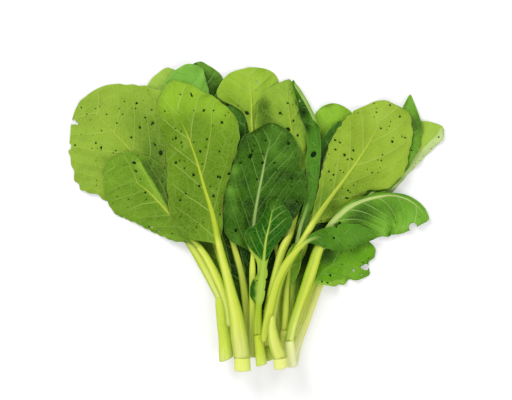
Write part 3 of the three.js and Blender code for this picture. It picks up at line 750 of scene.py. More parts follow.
def leaf_material(name, spec):
    n = Nodes(name)
    seed = spec["seed"] * 7.3
    under, along, across, edge, tone = n.attributes("under", "along", "across", "edge", "tone")
    phase, span, rib, stalk, bar, hole_shade = n.attributes("phase", "span", "rib", "stalk", "bar", "hole_shade")

    def tint(key):
        """Colour of the upper side or the underside, whichever is seen."""
        return n.colour(under, rgb(*spec["top" + key]), rgb(*spec["below" + key]))

    place = n.vector(along, across, seed)
    warp = n.add("ShaderNodeTexNoise", Vector=place, Scale=0.05, Detail=2.0, Roughness=0.5)
    bent = n.value("ShaderNodeVectorMath", {"operation": "MULTIPLY_ADD"},
                   i0=warp.outputs["Color"], i1=(9, 9, 0), i2=place)
    # side veins from the running number: thin lines, some stronger than others, fading outwards
    number = phase + (Value(n, warp.outputs["Fac"]) - 0.5) * 0.14
    nearest = n.math("ROUND", number)
    away = abs(number - nearest) * span
    out = abs(across)
    which = nearest + n.math("SIGN", across) * 0.37
    chance = n.value("ShaderNodeTexWhiteNoise", {"noise_dimensions": "1D"}, W=which + seed)
    line = 1.0 - n.ramp(away / n.ramp(out, 2.0, 34.0, 0.5, 0.15), 0.5, 1.6)
    line = line * n.ramp(edge, 0.5, 8.0) * n.ramp(chance, 0.0, 1.0, 0.5, 1.0)
    between = abs(n.math("FRACT", number) - 0.5)
    branch = 1.0 - n.ramp(between * span, 0.12, 0.5)
    branch = branch * n.ramp(out, 5.0, 22.0, 0.0, spec["branch_show"]) * n.ramp(edge, 1.0, 9.0)
    line = n.math("MAXIMUM", line, branch)
    # the two nets of small veins between them
    net, mesh = n.cells(bent, NET_CELL), n.cells(bent, MESH_CELL)
    weak = (1.0 - n.ramp(net, 0.012, 0.055)) * NET_SHOW
    weakest = (1.0 - n.ramp(mesh, 0.02, 0.13)) * MESH_SHOW
    show = n.math("MAXIMUM", line * spec["vein_show"], n.math("MAXIMUM", weak, weakest))
    # blade
    slow = n.ramp(n.noise(place, 0.028), 0.3, 0.7)
    blade = n.colour(under, n.colour(slow, rgb(*spec["top"]), rgb(*spec["top2"])),
                     n.colour(slow, rgb(*spec["below"]), rgb(*spec["below2"])))
    blade = n.colour(n.ramp(n.noise(place, 0.45, rough=0.6), 0.35, 0.75) * 0.22, blade, tint("2"))
    # painted light and shade, and the paler tissue of a wash: above 0 towards the lit colour, below 0
    # towards the shaded one
    blade = n.colour(n.ramp(tone, 0.0, 1.0), blade, tint("_light"))
    blade = n.colour(n.ramp(tone * -1.0, 0.0, 1.0), blade, tint("_shade"))
    blade = n.colour(show, blade, tint("_vein"))
    blade = n.colour((1.0 - n.ramp(edge, 0.0, 1.1)) * MARGIN_SHOW, blade, tint("_vein"))
    # stalk: pale base, streaks, darker flanks that are partly its greener skin and partly painted shade of
    # the round stalk, a painted highlight line, and painted shade on its left half; then the midrib that it
    # runs into
    streak = n.noise(n.vector(along * 0.06, across * 2.2, seed), 1.0, rough=0.55)
    base = n.colour(n.ramp(along, 0.0, PALE_UNTIL), rgb(*spec["stalk_base"]), rgb(*spec["stalk_mid"]))
    base = n.colour(n.ramp(streak, 0.4, 0.75) * 0.45, base, STALK_STREAK)
    base = n.colour(n.ramp(abs(bar), 0.45, 1.0) * 0.55, base, rgb(*spec["stalk_edge"]))
    # painted highlight: a light line along the stalk, just left of its middle
    glow = 1.0 - n.ramp(abs(bar + 0.28), 0.05, 0.5)
    base = n.colour(glow * 0.45, base, rgb(*spec["stalk_glow"]))
    base = n.colour(n.ramp(bar, -0.15, 0.1, spec["half_shade"], 0.0), base, rgb(*spec["stalk_edge"]))
    ribs = n.colour(n.ramp(stalk, 0.0, 1.0), tint("_rib"), base)
    ribs = n.colour(n.ramp(streak, 0.45, 0.8) * 0.2, ribs, STALK_STREAK)
    ribbed = n.math("MAXIMUM", rib * spec["rib_show"], n.ramp(stalk, 0.45, 0.95))
    whole = n.colour(ribbed, blade, ribs)
    # painted shade: the sheet in a hole takes a dark green in place of the shade seen through it
    whole = n.colour(hole_shade, whole, n.colour(under, HOLE_SHADE_TOP, HOLE_SHADE_UNDER))
    # relief: veins stand out on the underside and are sunk on the upper side
    ridge = (1.0 - n.ramp(away, 0.0, 1.7)) * n.ramp(edge, 0.5, 9.0)
    nets = (1.0 - n.ramp(net, 0.0, 0.12)) * 0.20 + (1.0 - n.ramp(mesh, 0.0, 0.3)) * 0.10
    thick = n.math("MAXIMUM", rib, stalk)
    height = (ridge * 0.42 + nets) * (under * 1.5 - 0.85) * (1.0 - thick) + streak * 0.22 * thick
    rough = n.value("ShaderNodeMapRange", i0=under, i1=0.0, i2=1.0, i3=ROUGH_TOP, i4=ROUGH_UNDER)
    return n.surface(whole, rough - stalk * 0.12, height, spec["sheen"])


def stem_material(name, spec):
    n = Nodes(name)
    cut, along, angle = n.attributes("cut", "along", "angle")
    round_x, round_y = n.math("COSINE", angle), n.math("SINE", angle)
    streak = n.noise(n.vector(round_x * 6.0, round_y * 6.0, along * 0.12), 1.1, rough=0.6)
    skin = n.colour(n.ramp(along, 0.0, 16.0), rgb(*spec["pale"]), rgb(*spec["skin"]))
    skin = n.colour(n.ramp(streak, 0.42, 0.75) * 0.5, skin, rgb(*spec["streak"]))
    inward = 1.0 - cut
    grain = n.noise(n.vector(round_x * inward, round_y * inward, spec["seed"] * 3.1), 9.0, rough=0.6)
    ring = n.ramp(cut, 0.10, 0.2) * (1.0 - n.ramp(cut, 0.26, 0.38))
    flesh = n.colour(ring * 0.75, FLESH, FLESH_RING)
    flesh = n.colour(n.ramp(grain, 0.4, 0.7) * 0.4, flesh, FLESH_GRAIN)
    whole = n.colour(n.ramp(cut, 0.02, 0.07), skin, flesh)
    height = streak * 0.35 + grain * (n.ramp(cut, 0.02, 0.1) * 0.5)
    return n.surface(whole, 0.5, height, 0.15)


# ---- meshes
def mesh_object(name, points, faces, attributes, material):
    mesh = bpy.data.meshes.new(name)
    mesh.from_pydata((points * MM).tolist(), [], [face.tolist() for face in faces])
    for key, values in attributes.items():
        spots = mesh.attributes.new(key, "FLOAT", "POINT").data
        spots.foreach_set("value", np.asarray(values, np.float32))
    mesh.polygons.foreach_set("use_smooth", np.ones(len(mesh.polygons), bool))
    mesh.materials.append(material)
    mesh.update()
    thing = bpy.data.objects.new(name, mesh)
    bpy.context.scene.collection.objects.link(thing)
    return thing


def leaf_map(leaf):
    """Flat map: upper side, lower side beside it, and the walls in a narrow strip between them."""
    across = leaf.V.max() - leaf.V.min()
    room = max(leaf.length, 2.15 * across + 6) * 1.02
    u = ((leaf.V - leaf.V.min()) / room + MAP_EDGE).ravel()
    v = (leaf.S / room + MAP_EDGE).ravel()
    shift = across / room + MAP_GAP
    sides = [np.stack([u, v], -1), np.stack([u + shift, v], -1)]
    loops = np.concatenate([*sides, *sides])[leaf.quads]
    first = 0
    for upper, lower, wall in leaf.counts:
        first += upper + lower
        loops[first:first + wall, :2, 0] = shift - MAP_WALL[0]
        loops[first:first + wall, 2:, 0] = shift - MAP_WALL[1]
        first += wall
    return loops.reshape(-1, 2)


def leaf_object(leaf, name):
    upper = 0.0 if leaf.flip > 0 else 1.0
    # one of these fields is the painted light and shade of the blade, with the paler tissue of a wash
    fields = {"along": leaf.S, "across": leaf.V, "phase": leaf.phase, "span": leaf.span,
              "rib": leaf.rib_mask, "stalk": 1 - leaf.on_blade, "edge": leaf.edge,
              "tone": leaf.tone, "bar": leaf.bar}
    # the last two copies of the points make the dark sheet of painted shade in the holes
    attributes = {"under": np.repeat([upper, 1 - upper, upper, 1 - upper], leaf.S.size),
                  "hole_shade": np.repeat([0.0, 0.0, 1.0, 1.0], leaf.S.size)}
    for key, field in fields.items():
        attributes[key] = np.tile(field.ravel(), 4)
    seen = in_use(leaf.points, leaf.quads)
    renumber = np.cumsum(seen) - 1
    attributes = {key: values[seen] for key, values in attributes.items()}
    thing = mesh_object(name, leaf.points[seen], renumber[leaf.quads], attributes,
                        leaf_material(name, leaf.spec))
    uv = thing.data.uv_layers.new(name="OFBake").data
    uv.foreach_set("uv", np.asarray(leaf_map(leaf), np.float32).ravel())
    return thing


def stem_object(stem, name):
    faces = [*stem.quads, *stem.caps]
    return mesh_object(name, stem.points, faces, stem.attributes, stem_material(name, stem.spec))


# ---- the leaves
# In the order in which they are laid down; lengths in mm, angles in degrees, colours as a screen shows them.
# path: the midrib from the stalk's end to the tip. blade: the share of the path that is stalk.
# stalk: place along the stalk, from 0 to 1, and width. left, right: fraction of the blade and half width.
# cup: how high the margins stand. pucker, wave, crinkle, ruffle: heights of the bulges between the veins,
# of slow and of small waves, and of those along the margin. rough: unevenness of the outline.
# tilt: how fast a stiff piece falls along its length. rib_taper, rib_fade: how fast the midrib narrows,
# and the fractions between which it fades. veins: where side veins start, left and right.
# vein_lean: their slope at the base and at the tip, and how fast it grows outwards.
# top..., below...: colours of the upper side and the underside; those ending in _light are painted light,
# those ending in _shade painted shade. stalk_...: colours of the stalk, one of them the painted highlight
# line along it.
# ..._show: how clearly a thing shows. half_shade: shade on half the stalk. sheen: strength of the gloss.
# holes: x, y, size (and second size, turn), each filled by a dark sheet of painted shade; bites: x, y, size,
# without one.
# shots: tries at small random holes, also filled with such painted shade.
# tones: patches of painted light and shade: x, y, reach, amount, above 0 painted light. washes: from, to,
# slope, amount, lighter at the base.
# bands: margins with painted light: side, from, to, width, amount. rolls: rolled margins: side, from, to,
# strip, angle.
# folds: painted shading of a fold on the blade to the right of a line x, y to x, y: reach, amount, above 0
# lighter.
# stem: the cut stem that the leaf grows on; slant: how far its cut leans.
# PLAIN has what a leaf has unless its own row says otherwise.
PLAIN = dict(
    rough=0.35, cup=4.0, pucker=0.8, wave=1.2, crinkle=0.35, ruffle=1.5, tilt=0, rib_taper=1.9,
    rib_fade=(0.6, 0.97), rib_show=1.0, veins=(None, None), vein_lean=(1.15, 0.6, 0.004), vein_show=0.6,
    branch_show=0.3, half_shade=0.0, sheen=0.07, shots=0, stalk=[(0, 6), (1, 5)], holes=[], bites=[],
    tones=[], washes=[], bands=[], rolls=[], folds=[], top_light=(122, 180, 56), below_light=(176, 208, 80),
    top_shade=(24, 56, 6), below_shade=(70, 108, 16), top_vein=(140, 182, 92), below_vein=(196, 214, 112),
    top_rib=(172, 200, 104), below_rib=(200, 216, 76), stalk_base=(234, 240, 140),
    stalk_mid=(214, 228, 84), stalk_edge=(148, 188, 26), stalk_glow=(240, 244, 136))
PALE_UP = dict(PLAIN, up="under", top=(64, 128, 34), top2=(46, 104, 26))
DARK_UP = dict(PLAIN, up="top", below=(140, 178, 62), below2=(118, 156, 46))

LEAVES = []


def leaf(kind, name, **own):
    LEAVES.append(dict(kind, name=name, **own))


leaf(PALE_UP, "leaf_far_right", seed=1, blade=0.515, stalk=[(0, 10), (0.3, 9), (1, 7)], cup=[-4, -3],
     path=[(32, -134), (36, -116), (44, -94), (55, -65), (68, -38), (86, -10), (102, 14), (120, 34),
           (136, 50), (152, 66), (168, 81)],
     left=[(0.2, 14), (0.4, 22), (0.6, 26), (0.75, 27), (0.88, 20), (0.95, 12)],
     right=[(0.2, 11), (0.4, 11), (0.6, 9.5), (0.75, 9), (0.88, 9), (0.95, 8)],
     stalk_mid=(252, 255, 150), stalk_edge=(232, 244, 116), stalk_base=(255, 255, 216),
     below=(164, 200, 72), below2=(150, 186, 58), vein_show=0.3, shots=10, bands=[(1, 0.3, 1.0, 8, 0.9)],
     below_light=(200, 224, 146))
leaf(DARK_UP, "leaf_pointed", seed=2, blade=0.22, stalk=[(0, 6), (1, 4)], cup=3,
     path=[(48, -66), (66, -26), (91, 8), (115, 32), (131, 55), (140, 77), (141, 95), (139, 110)],
     left=[(0.03, 12), (0.09, 17), (0.2, 20), (0.35, 20), (0.51, 17), (0.68, 14), (0.8, 12), (0.9, 11),
           (0.96, 6)],
     right=[(0.35, 7), (0.51, 10), (0.68, 11), (0.8, 9), (0.9, 4.5), (0.96, 2)],
     top=(112, 164, 42), top2=(88, 140, 30), shots=5,
     tones=[(143, 82, 10, -0.6), (140, 106, 8, 0.7), (133, 98, 6, 0.6), (86, 12, 12, -0.9)])
leaf(DARK_UP, "leaf_back_right", seed=3, blade=0.03, stalk=[(0, 5), (1, 5)], cup=2,
     path=[(30, -96), (33, -66), (36, -40), (43, -4), (52, 32), (61, 59), (68, 82), (71, 102)],
     left=[(0.03, 6), (0.12, 9), (0.18, 13), (0.35, 14), (0.54, 12), (0.68, 15), (0.8, 17), (0.9, 17),
           (0.96, 15), (0.985, 9)],
     right=[(0.03, 5), (0.12, 8), (0.18, 11), (0.28, 15), (0.35, 20), (0.42, 21), (0.54, 14), (0.68, 16),
            (0.8, 19), (0.9, 20), (0.96, 17.5), (0.985, 11)],
     rough=1.4, top=(148, 194, 50), top2=(120, 170, 34), top_light=(150, 200, 60), shots=8,
     rib_fade=(0.3, 0.7),
     tones=[(38, -30, 34, -0.9), (48, 20, 30, -0.7), (57, -8, 14, -1.0), (64, 96, 16, 0.4),
            (56, 72, 10, -0.4)])
leaf(DARK_UP, "leaf_tucked", seed=4, blade=0.6, cup=3,
     path=[(20, -113), (20.2, -84), (25, -60), (36, -42), (43, -28), (51, 10), (60, 46), (68, 68),
           (76, 86)],
     left=[(0.3, 8), (0.5, 10), (0.7, 10), (0.85, 7), (0.95, 4)],
     right=[(0.2, 10), (0.35, 17), (0.5, 22), (0.65, 24), (0.78, 17), (0.88, 9), (0.95, 4)],
     stalk_base=(206, 222, 90), stalk_mid=(150, 184, 48), top=(60, 112, 26), top2=(42, 88, 18), shots=3,
     tones=[(70, 78, 12, 0.4), (76, 56, 16, -0.8)])
leaf(DARK_UP, "leaf_top_dark", seed=5, blade=0.03, cup=3,
     path=[(-4, -106), (-8, -80), (-14, -57), (-21, -32), (-27, 0), (-35, 59), (-42, 100), (-48, 122),
           (-54, 139.5)],
     left=[(0.04, 8), (0.1, 10), (0.2, 12), (0.36, 12), (0.56, 14), (0.7, 22), (0.83, 25), (0.92, 25),
           (0.97, 18)],
     right=[(0.04, 5), (0.1, 7), (0.2, 11), (0.36, 12), (0.56, 12), (0.7, 15), (0.83, 17), (0.92, 17),
            (0.97, 9)],
     ruffle=2.4, crinkle=0.9, pucker=1.1, rib_fade=(0.35, 0.8), stalk_mid=(168, 190, 66),
     top=(86, 128, 28), top2=(56, 98, 18), shots=8,
     tones=[(-20, -40, 40, -0.9), (-37, 112, 11, -0.6), (-50, 138, 12, 0.6), (-36, 130, 7, 0.35)])
leaf(PALE_UP, "leaf_back_left", seed=6, blade=0.14, cup=-4,
     path=[(-20, -96), (-28, -58), (-46, -4), (-60, 41), (-72, 82), (-78, 109), (-81, 134)],
     left=[(0.06, 7), (0.14, 10), (0.25, 14), (0.35, 16), (0.55, 24), (0.73, 28), (0.86, 25), (0.94, 19),
           (0.98, 10)],
     right=[(0.06, 7), (0.14, 9), (0.3, 12), (0.55, 22), (0.73, 27), (0.87, 24), (0.96, 14)],
     rib_fade=(0.1, 0.4), below=(162, 200, 84), below2=(146, 184, 66), vein_show=0.3, shots=16,
     tones=[(-36, -35, 40, -1.0), (-92, 124, 14, 0.4), (-84, 116, 8, -0.3)])
leaf(DARK_UP, "leaf_top_round", seed=7, blade=0.5, stalk=[(0, 6), (0.2, 7.4), (1, 4)], cup=-2,
     path=[(-7, -117), (-8, -98), (-10.5, -75), (-14, -52), (-19.5, -32), (-30, 5), (-44, 59), (-55, 100),
           (-60, 121), (-64, 137)],
     left=[(0.3, 17), (0.5, 23), (0.7, 26), (0.85, 25), (0.95, 17)],
     right=[(0.3, 14), (0.5, 17), (0.7, 15), (0.85, 14), (0.95, 13)],
     rib_fade=(0.3, 0.7), top=(136, 192, 74), top2=(112, 170, 58), vein_show=0.3, shots=6,
     tones=[(-66, 122, 16, 0.35)])
leaf(PALE_UP, "leaf_far_left", seed=8, blade=0.358, stalk=[(0, 10.5), (0.45, 11), (0.75, 9.5), (1, 6)],
     cup=[-6, -5],
     path=[(-32, -73), (-44, -50), (-57, -28), (-77, 1), (-96, 30), (-113, 57), (-134, 80), (-149, 95),
           (-160, 104)],
     left=[(0.12, 17), (0.27, 33), (0.4, 47), (0.5, 55), (0.6, 57), (0.72, 50), (0.84, 39), (0.93, 26),
           (0.98, 14)],
     right=[(0.12, 16), (0.27, 36), (0.4, 46), (0.55, 54), (0.68, 57), (0.8, 47), (0.9, 33), (0.97, 17)],
     below_shade=(88, 124, 30), below_light=(166, 196, 74), vein_show=0.38, vein_lean=(1.3, 0.5, 0.006),
     below=(146, 180, 56), below2=(134, 168, 48), shots=60, rib_taper=2.2, rib_fade=(0.7, 0.92),
     rib_show=0.55, pucker=1.0, rough=1.5,
     veins=([0.13, 0.31, 0.52, 0.72, 0.88], [0.2, 0.36, 0.53, 0.7, 0.86]),
     tones=[(-160, 84, 26, 0.2), (-134, 110, 18, 0.2), (-100, 82, 22, -0.5), (-90, 54, 18, -0.9),
            (-118, 92, 9, -0.15), (-150, 40, 18, 0.2), (-138, 66, 12, 0.15)],
     holes=[(-159, 98, 1.6), (-154, 92, 1.6), (-146, 97, 1.5), (-136, 92, 1.8), (-127, 84, 2),
            (-141, 77, 1.8), (-146, 66, 2), (-128, 59, 2), (-122, 92, 2), (-109, 102, 2.4), (-95, 96, 2),
            (-94, 84, 2.2), (-106, 80, 2.4), (-101, 89, 1.8), (-114, 71, 2.2), (-92, 64, 2),
            (-87, 57, 4.6, 3.4, 0.8)],
     bites=[(-171, 63, 6), (-166, 85, 5), (-170, 61, 3), (-163, 83.5, 2.6), (-153, 28, 1.4),
            (-162, 41, 1.2)],
     stem=dict(name="stem_left", path=[(-27.5, -129), (-28, -114), (-30.5, -95)],
               width=[(0, 12.5), (0.1, 13.2), (0.2, 13), (0.4, 11.6), (0.65, 11), (0.85, 11.6), (1, 11)],
               pale=(224, 238, 124), skin=(212, 230, 84), streak=(178, 208, 52), seed=21, slant=0.35))
leaf(PALE_UP, "leaf_low_left", seed=9, blade=0.4, stalk=[(0, 8), (0.6, 8.5), (1, 6)], cup=[-8, -6],
     path=[(-23, -98), (-27, -76), (-41, -45), (-51, -29), (-62, -16), (-77, 0), (-97, 21), (-109, 30),
           (-122, 40), (-135, 49)],
     left=[(0.1, 7), (0.22, 17), (0.4, 25), (0.55, 31), (0.7, 34), (0.82, 29), (0.92, 19), (0.98, 9)],
     right=[(0.1, 6), (0.22, 14), (0.4, 22), (0.55, 25), (0.7, 26), (0.82, 24), (0.92, 17), (0.98, 8)],
     below_shade=(54, 92, 10), below_light=(142, 184, 54), veins=(None, [0.04, 0.3, 0.5, 0.7]),
     vein_show=0.36, vein_lean=[(1.0, 0.4, 0.0), (2.8, 1.6, 0.0)], rib_taper=2.1, rib_show=0.6, rough=0.9,
     rib_fade=(0.55, 0.85), below=(112, 156, 34), below2=(98, 140, 26), shots=26,
     bites=[(-131, 3, 3), (-95, -10, 1.8), (-89, -14, 1.2)],
     tones=[(-124, 8, 20, 0.3), (-110, 50, 12, 0.15), (-72, -18, 20, 0.2), (-112, 22, 9, -0.35),
            (-96, 5, 10, -0.3), (-86, 38, 8, -0.3)],
     folds=[(-77, 2, -107, 52, 22, -1.0), (-107, 52, -77, 2, 11, 0.6)],
     holes=[(-111, 48, 2.7, 3.6), (-109, 40, 1.8), (-105, 33, 1.6), (-101, 21, 2.2)])
leaf(DARK_UP, "leaf_behind_centre", seed=10, blade=0.03, stalk=[(0, 6), (1, 4)], cup=2,
     path=[(2, -107), (0.5, -76), (-5, -22), (-8, 23), (-10, 59), (-11, 88), (-11, 110)],
     left=[(0.05, 5), (0.12, 7), (0.2, 8.5), (0.33, 11), (0.54, 18), (0.73, 23), (0.85, 23), (0.92, 19),
           (0.97, 11)],
     right=[(0.02, 6), (0.05, 8.5), (0.09, 11), (0.14, 15), (0.21, 20), (0.32, 28), (0.39, 30), (0.46, 25),
            (0.54, 18), (0.73, 20), (0.85, 21), (0.92, 17), (0.97, 10)],
     top=(50, 98, 20), top2=(34, 76, 12), shots=5, tones=[(-2, -50, 40, -1.0), (-24, 96, 14, 0.3)])
leaf(PALE_UP, "leaf_top_centre", seed=11, blade=0.72, stalk=[(0, 5), (1, 4)], cup=-3,
     path=[(13, -104), (14, -72), (19, -40), (12, -4), (2, 46), (-4, 77), (-5, 104), (-6, 120),
           (-7, 134.5)],
     left=[(0.12, 3), (0.27, 4.5), (0.39, 8), (0.48, 16), (0.54, 24), (0.6, 29.5), (0.67, 31),
           (0.75, 29.5), (0.83, 26), (0.9, 21.5), (0.96, 15)],
     right=[(0.05, 14), (0.12, 26), (0.25, 33), (0.42, 32), (0.56, 28), (0.7, 26), (0.8, 25.5), (0.88, 23),
            (0.94, 18.5), (0.98, 12)],
     rib_show=0.6, ruffle=0.8, below=(151, 189, 52), below2=(137, 176, 42), vein_show=0.36, shots=14,
     holes=[(-9, 93, 3.2, 4.2, 0.5)], bites=[(0, 121, 1.8), (-23, 128, 1.0)],
     tones=[(-24, 108, 12, -0.35), (-14, 92, 12, -0.5), (4, 90, 10, -0.5), (-4, 122, 18, 0.3),
            (6, 132, 3, -0.5), (0, 133.5, 3, -0.5)])
leaf(PALE_UP, "leaf_centre_right", seed=12, blade=0.6,
     stalk=[(0, 7), (0.12, 7.4), (0.35, 6.8), (0.65, 8), (1, 5)], cup=-3,
     path=[(8, -117), (8, -98), (10, -82), (15, -59), (23, -31), (31, -12), (37, 14), (39, 34), (36, 52),
           (33, 68), (30, 88), (28, 106), (29, 123.5)],
     left=[(0.19, 13), (0.33, 25), (0.47, 33), (0.63, 32), (0.77, 28), (0.87, 23), (0.93, 14), (0.98, 6)],
     right=[(0.19, 9), (0.33, 12), (0.43, 14), (0.55, 15), (0.65, 13), (0.77, 11), (0.89, 9), (0.95, 6)],
     below=(142, 180, 54), below2=(125, 160, 42), shots=12, vein_show=0.3, crinkle=0.6, rib_show=0.35,
     tones=[(5, 100, 9, -0.9), (8, 86, 9, -0.8), (26, 108, 13, 0.3), (38, 82, 6, -0.3), (50, 58, 8, -1.0),
            (48, 70, 5, -0.8)],
     holes=[(21, 93, 2.6), (28, 78, 4), (28, 102, 2), (33, 86, 2.2)],
     stem=dict(name="stem_thin", path=[(12, -129)], width=[(0, 8), (1, 8)], pale=(206, 220, 100),
               skin=(150, 178, 50), streak=(120, 152, 36), seed=22))
leaf(DARK_UP, "leaf_folded", seed=13, blade=0.28, stalk=[(0, 5), (1, 4)], cup=2,
     path=[(29.5, -98), (31, -76), (33, -45), (38, -14), (45, 8), (51, 30), (53, 50), (53, 68), (50, 84),
           (44, 99), (38, 111), (32, 122)],
     left=[(0.1, 3), (0.3, 4), (0.42, 7), (0.52, 9), (0.62, 8), (0.7, 8), (0.79, 8.5), (0.88, 6),
           (0.95, 3)],
     right=[(0.1, 5), (0.3, 5), (0.45, 4), (0.6, 4.5), (0.75, 4), (0.88, 3), (0.95, 2)],
     rib_fade=(0.1, 0.4), stalk_base=(196, 214, 84), stalk_mid=(164, 194, 60),
     rolls=[(1, 0.72, 1.0, 12, 168)], top=(92, 150, 34), top2=(70, 124, 24), below=(158, 196, 96),
     below2=(142, 182, 80), shots=4, holes=[(51, 55.5, 6.2, 4.6)], bites=[(38, 104, 2.4)],
     tones=[(32, -35, 36, -1.0), (40, 94, 8, -1.0), (44, 80, 6, -0.8), (46, 38, 4, -0.6)])
leaf(PALE_UP, "leaf_small_inner", seed=14, blade=0.46, stalk=[(0, 7), (0.6, 6.6), (1, 5)], cup=1,
     path=[(25, -103), (25.8, -80), (27.2, -60), (30, -42), (35, -24)],
     left=[(0.1, 3.6), (0.3, 4.4), (0.6, 5.5), (0.85, 4)],
     right=[(0.1, 5), (0.3, 8), (0.55, 9.5), (0.85, 7)],
     below=(122, 170, 36), below2=(104, 152, 26), shots=1, stalk_base=(224, 236, 92),
     stalk_mid=(210, 228, 84), rib_fade=(0.6, 0.95), tones=[(34, -44, 6, -0.3), (32, -30, 6, -0.4)],
     stem=dict(name="stem_node", path=[(24, -123)], width=[(0, 5), (1, 7.8)], pale=(252, 255, 140),
               skin=(250, 255, 130), streak=(222, 236, 90), seed=23))
leaf(DARK_UP, "leaf_centre_dark", seed=15, blade=0.436, stalk=[(0, 6.5), (0.85, 6), (1, 3.4)], cup=[5, 4],
     path=[(-4.5, -127), (-4, -76), (-4, -41), (-3, -9), (1, 18), (4, 33), (8, 53), (12, 68), (13, 84)],
     left=[(0.06, 15), (0.12, 23), (0.2, 27), (0.35, 30), (0.48, 31), (0.6, 30), (0.72, 27), (0.85, 25),
           (0.94, 15)],
     right=[(0.06, 9), (0.15, 22), (0.3, 35), (0.45, 41), (0.6, 41), (0.72, 33.5), (0.85, 27), (0.94, 16)],
     rough=0.8, vein_lean=[(1.9, 1.5, 0.0), (2.3, 1.6, 0.0)], top=(60, 106, 14), top2=(46, 88, 8),
     top_vein=(146, 186, 96), top_rib=(160, 190, 106), vein_show=0.42, branch_show=0.15, rib_taper=1.0,
     shots=18, crinkle=0.9, pucker=1.4, sheen=0.05,
     folds=[(21, 43, 43, 36, 16, -0.6), (10, 12, 23, 44, 8, -0.4)],
     veins=([0.16, 0.34, 0.52, 0.7, 0.86], [0.12, 0.3, 0.46, 0.62, 0.8]),
     tones=[(-22, 40, 8, 0.55), (-23, 22, 8, 0.6), (-20, 4, 8, 0.4), (-11, 30, 6, -0.7), (-9, 10, 6, -0.7),
            (-14, 68, 10, -0.6), (16, 77, 12, 0.3), (14, 60, 8, 0.25), (22, 50, 8, 0.35),
            (30, 56, 6, 0.25), (34, 6, 12, -0.9), (22, -4, 12, -0.9), (16, 24, 7, 0.3), (-8, -4, 7, -0.7),
            (-16, -22, 8, 0.3), (26, 62, 5, -0.35), (5, 34, 5, -0.5), (3, 14, 5, -0.6), (8, 8, 7, -0.6)],
     holes=[(-6, 54, 4.8, 3.2, 0.3), (5, 48, 3.2, 2.4), (16, 48, 2.2), (0, 33, 2), (5, 56, 2),
            (-15, 48, 2), (-19, -13, 3.4, 2.4), (31, 27, 2), (36, 13, 2.2), (28, 65, 2.2), (8, 68, 2)])
leaf(PALE_UP, "leaf_front_left", seed=16, blade=0.405,
     stalk=[(0, 14.5), (0.18, 15), (0.4, 12.6), (0.62, 9), (0.8, 7.6), (1, 6.4)], cup=[-7, -6],
     path=[(-13.5, -126.5), (-15.5, -110), (-18.5, -90), (-24.5, -62), (-32.5, -31), (-39.5, 0),
           (-47.5, 26), (-54, 49), (-61, 69), (-69, 88), (-74, 105), (-75, 122)],
     left=[(0.03, 20), (0.1, 32), (0.2, 37), (0.35, 34), (0.5, 28), (0.65, 22.5), (0.78, 21), (0.89, 15),
           (0.96, 8)],
     right=[(0.08, 6), (0.175, 9), (0.25, 14), (0.35, 23), (0.43, 30), (0.5, 38), (0.58, 45), (0.65, 46),
            (0.78, 39.5), (0.89, 30), (0.96, 19)],
     rough=0.7, rib_taper=2.2, veins=([0.18, 0.325, 0.46, 0.64], [0.17, 0.4, 0.62, 0.82]), vein_show=0.45,
     branch_show=0.1, below_rib=(184, 204, 58), vein_lean=[(1.3, 1.9, 0.0), (1.5, 2.1, 0.0)],
     rib_fade=(0.62, 0.8), below=(106, 146, 24), below2=(94, 132, 18), shots=46,
     below_light=(150, 194, 44), below_shade=(70, 108, 10),
     tones=[(-62, 114, 26, 0.75), (-30, 94, 18, 0.5), (-82, 100, 14, 0.35), (-66, 66, 14, 0.25),
            (-70, 14, 28, -0.4), (-30, 24, 16, -0.3), (-60, -14, 14, -0.3), (-40, 66, 16, -0.1),
            (-76, 34, 8, 0.3), (-47, -12, 9, 0.3), (-52, 84, 8, -0.2)],
     holes=[(-59, 109, 6.5, 1.8, -0.15), (-48, 95, 2.7), (-39, 95, 2.3), (-73, 48, 2.7), (-57, 37, 2.7),
            (-39, 18, 2.7), (-25, 38, 2.7, 3.6), (-69, 14, 2.6), (-73, 70, 3, 2, 0.9),
            (-68, 66, 2.4, 1.6, 0.8), (-45, 69, 2.4), (-51, 58, 2.6), (-46, 62, 1.6), (-34, 58, 2.2),
            (-57, 66, 1.8), (-65, 43, 1.8), (-52, 27, 2.4), (-64, 20, 2), (-49, 47, 1.8)],
     stem=dict(name="stem_front", path=[(-13, -138)], width=[(0, 14.8), (1, 14.4)], pale=(240, 248, 132),
               skin=(232, 243, 116), streak=(218, 232, 94), seed=24, slant=-0.08))
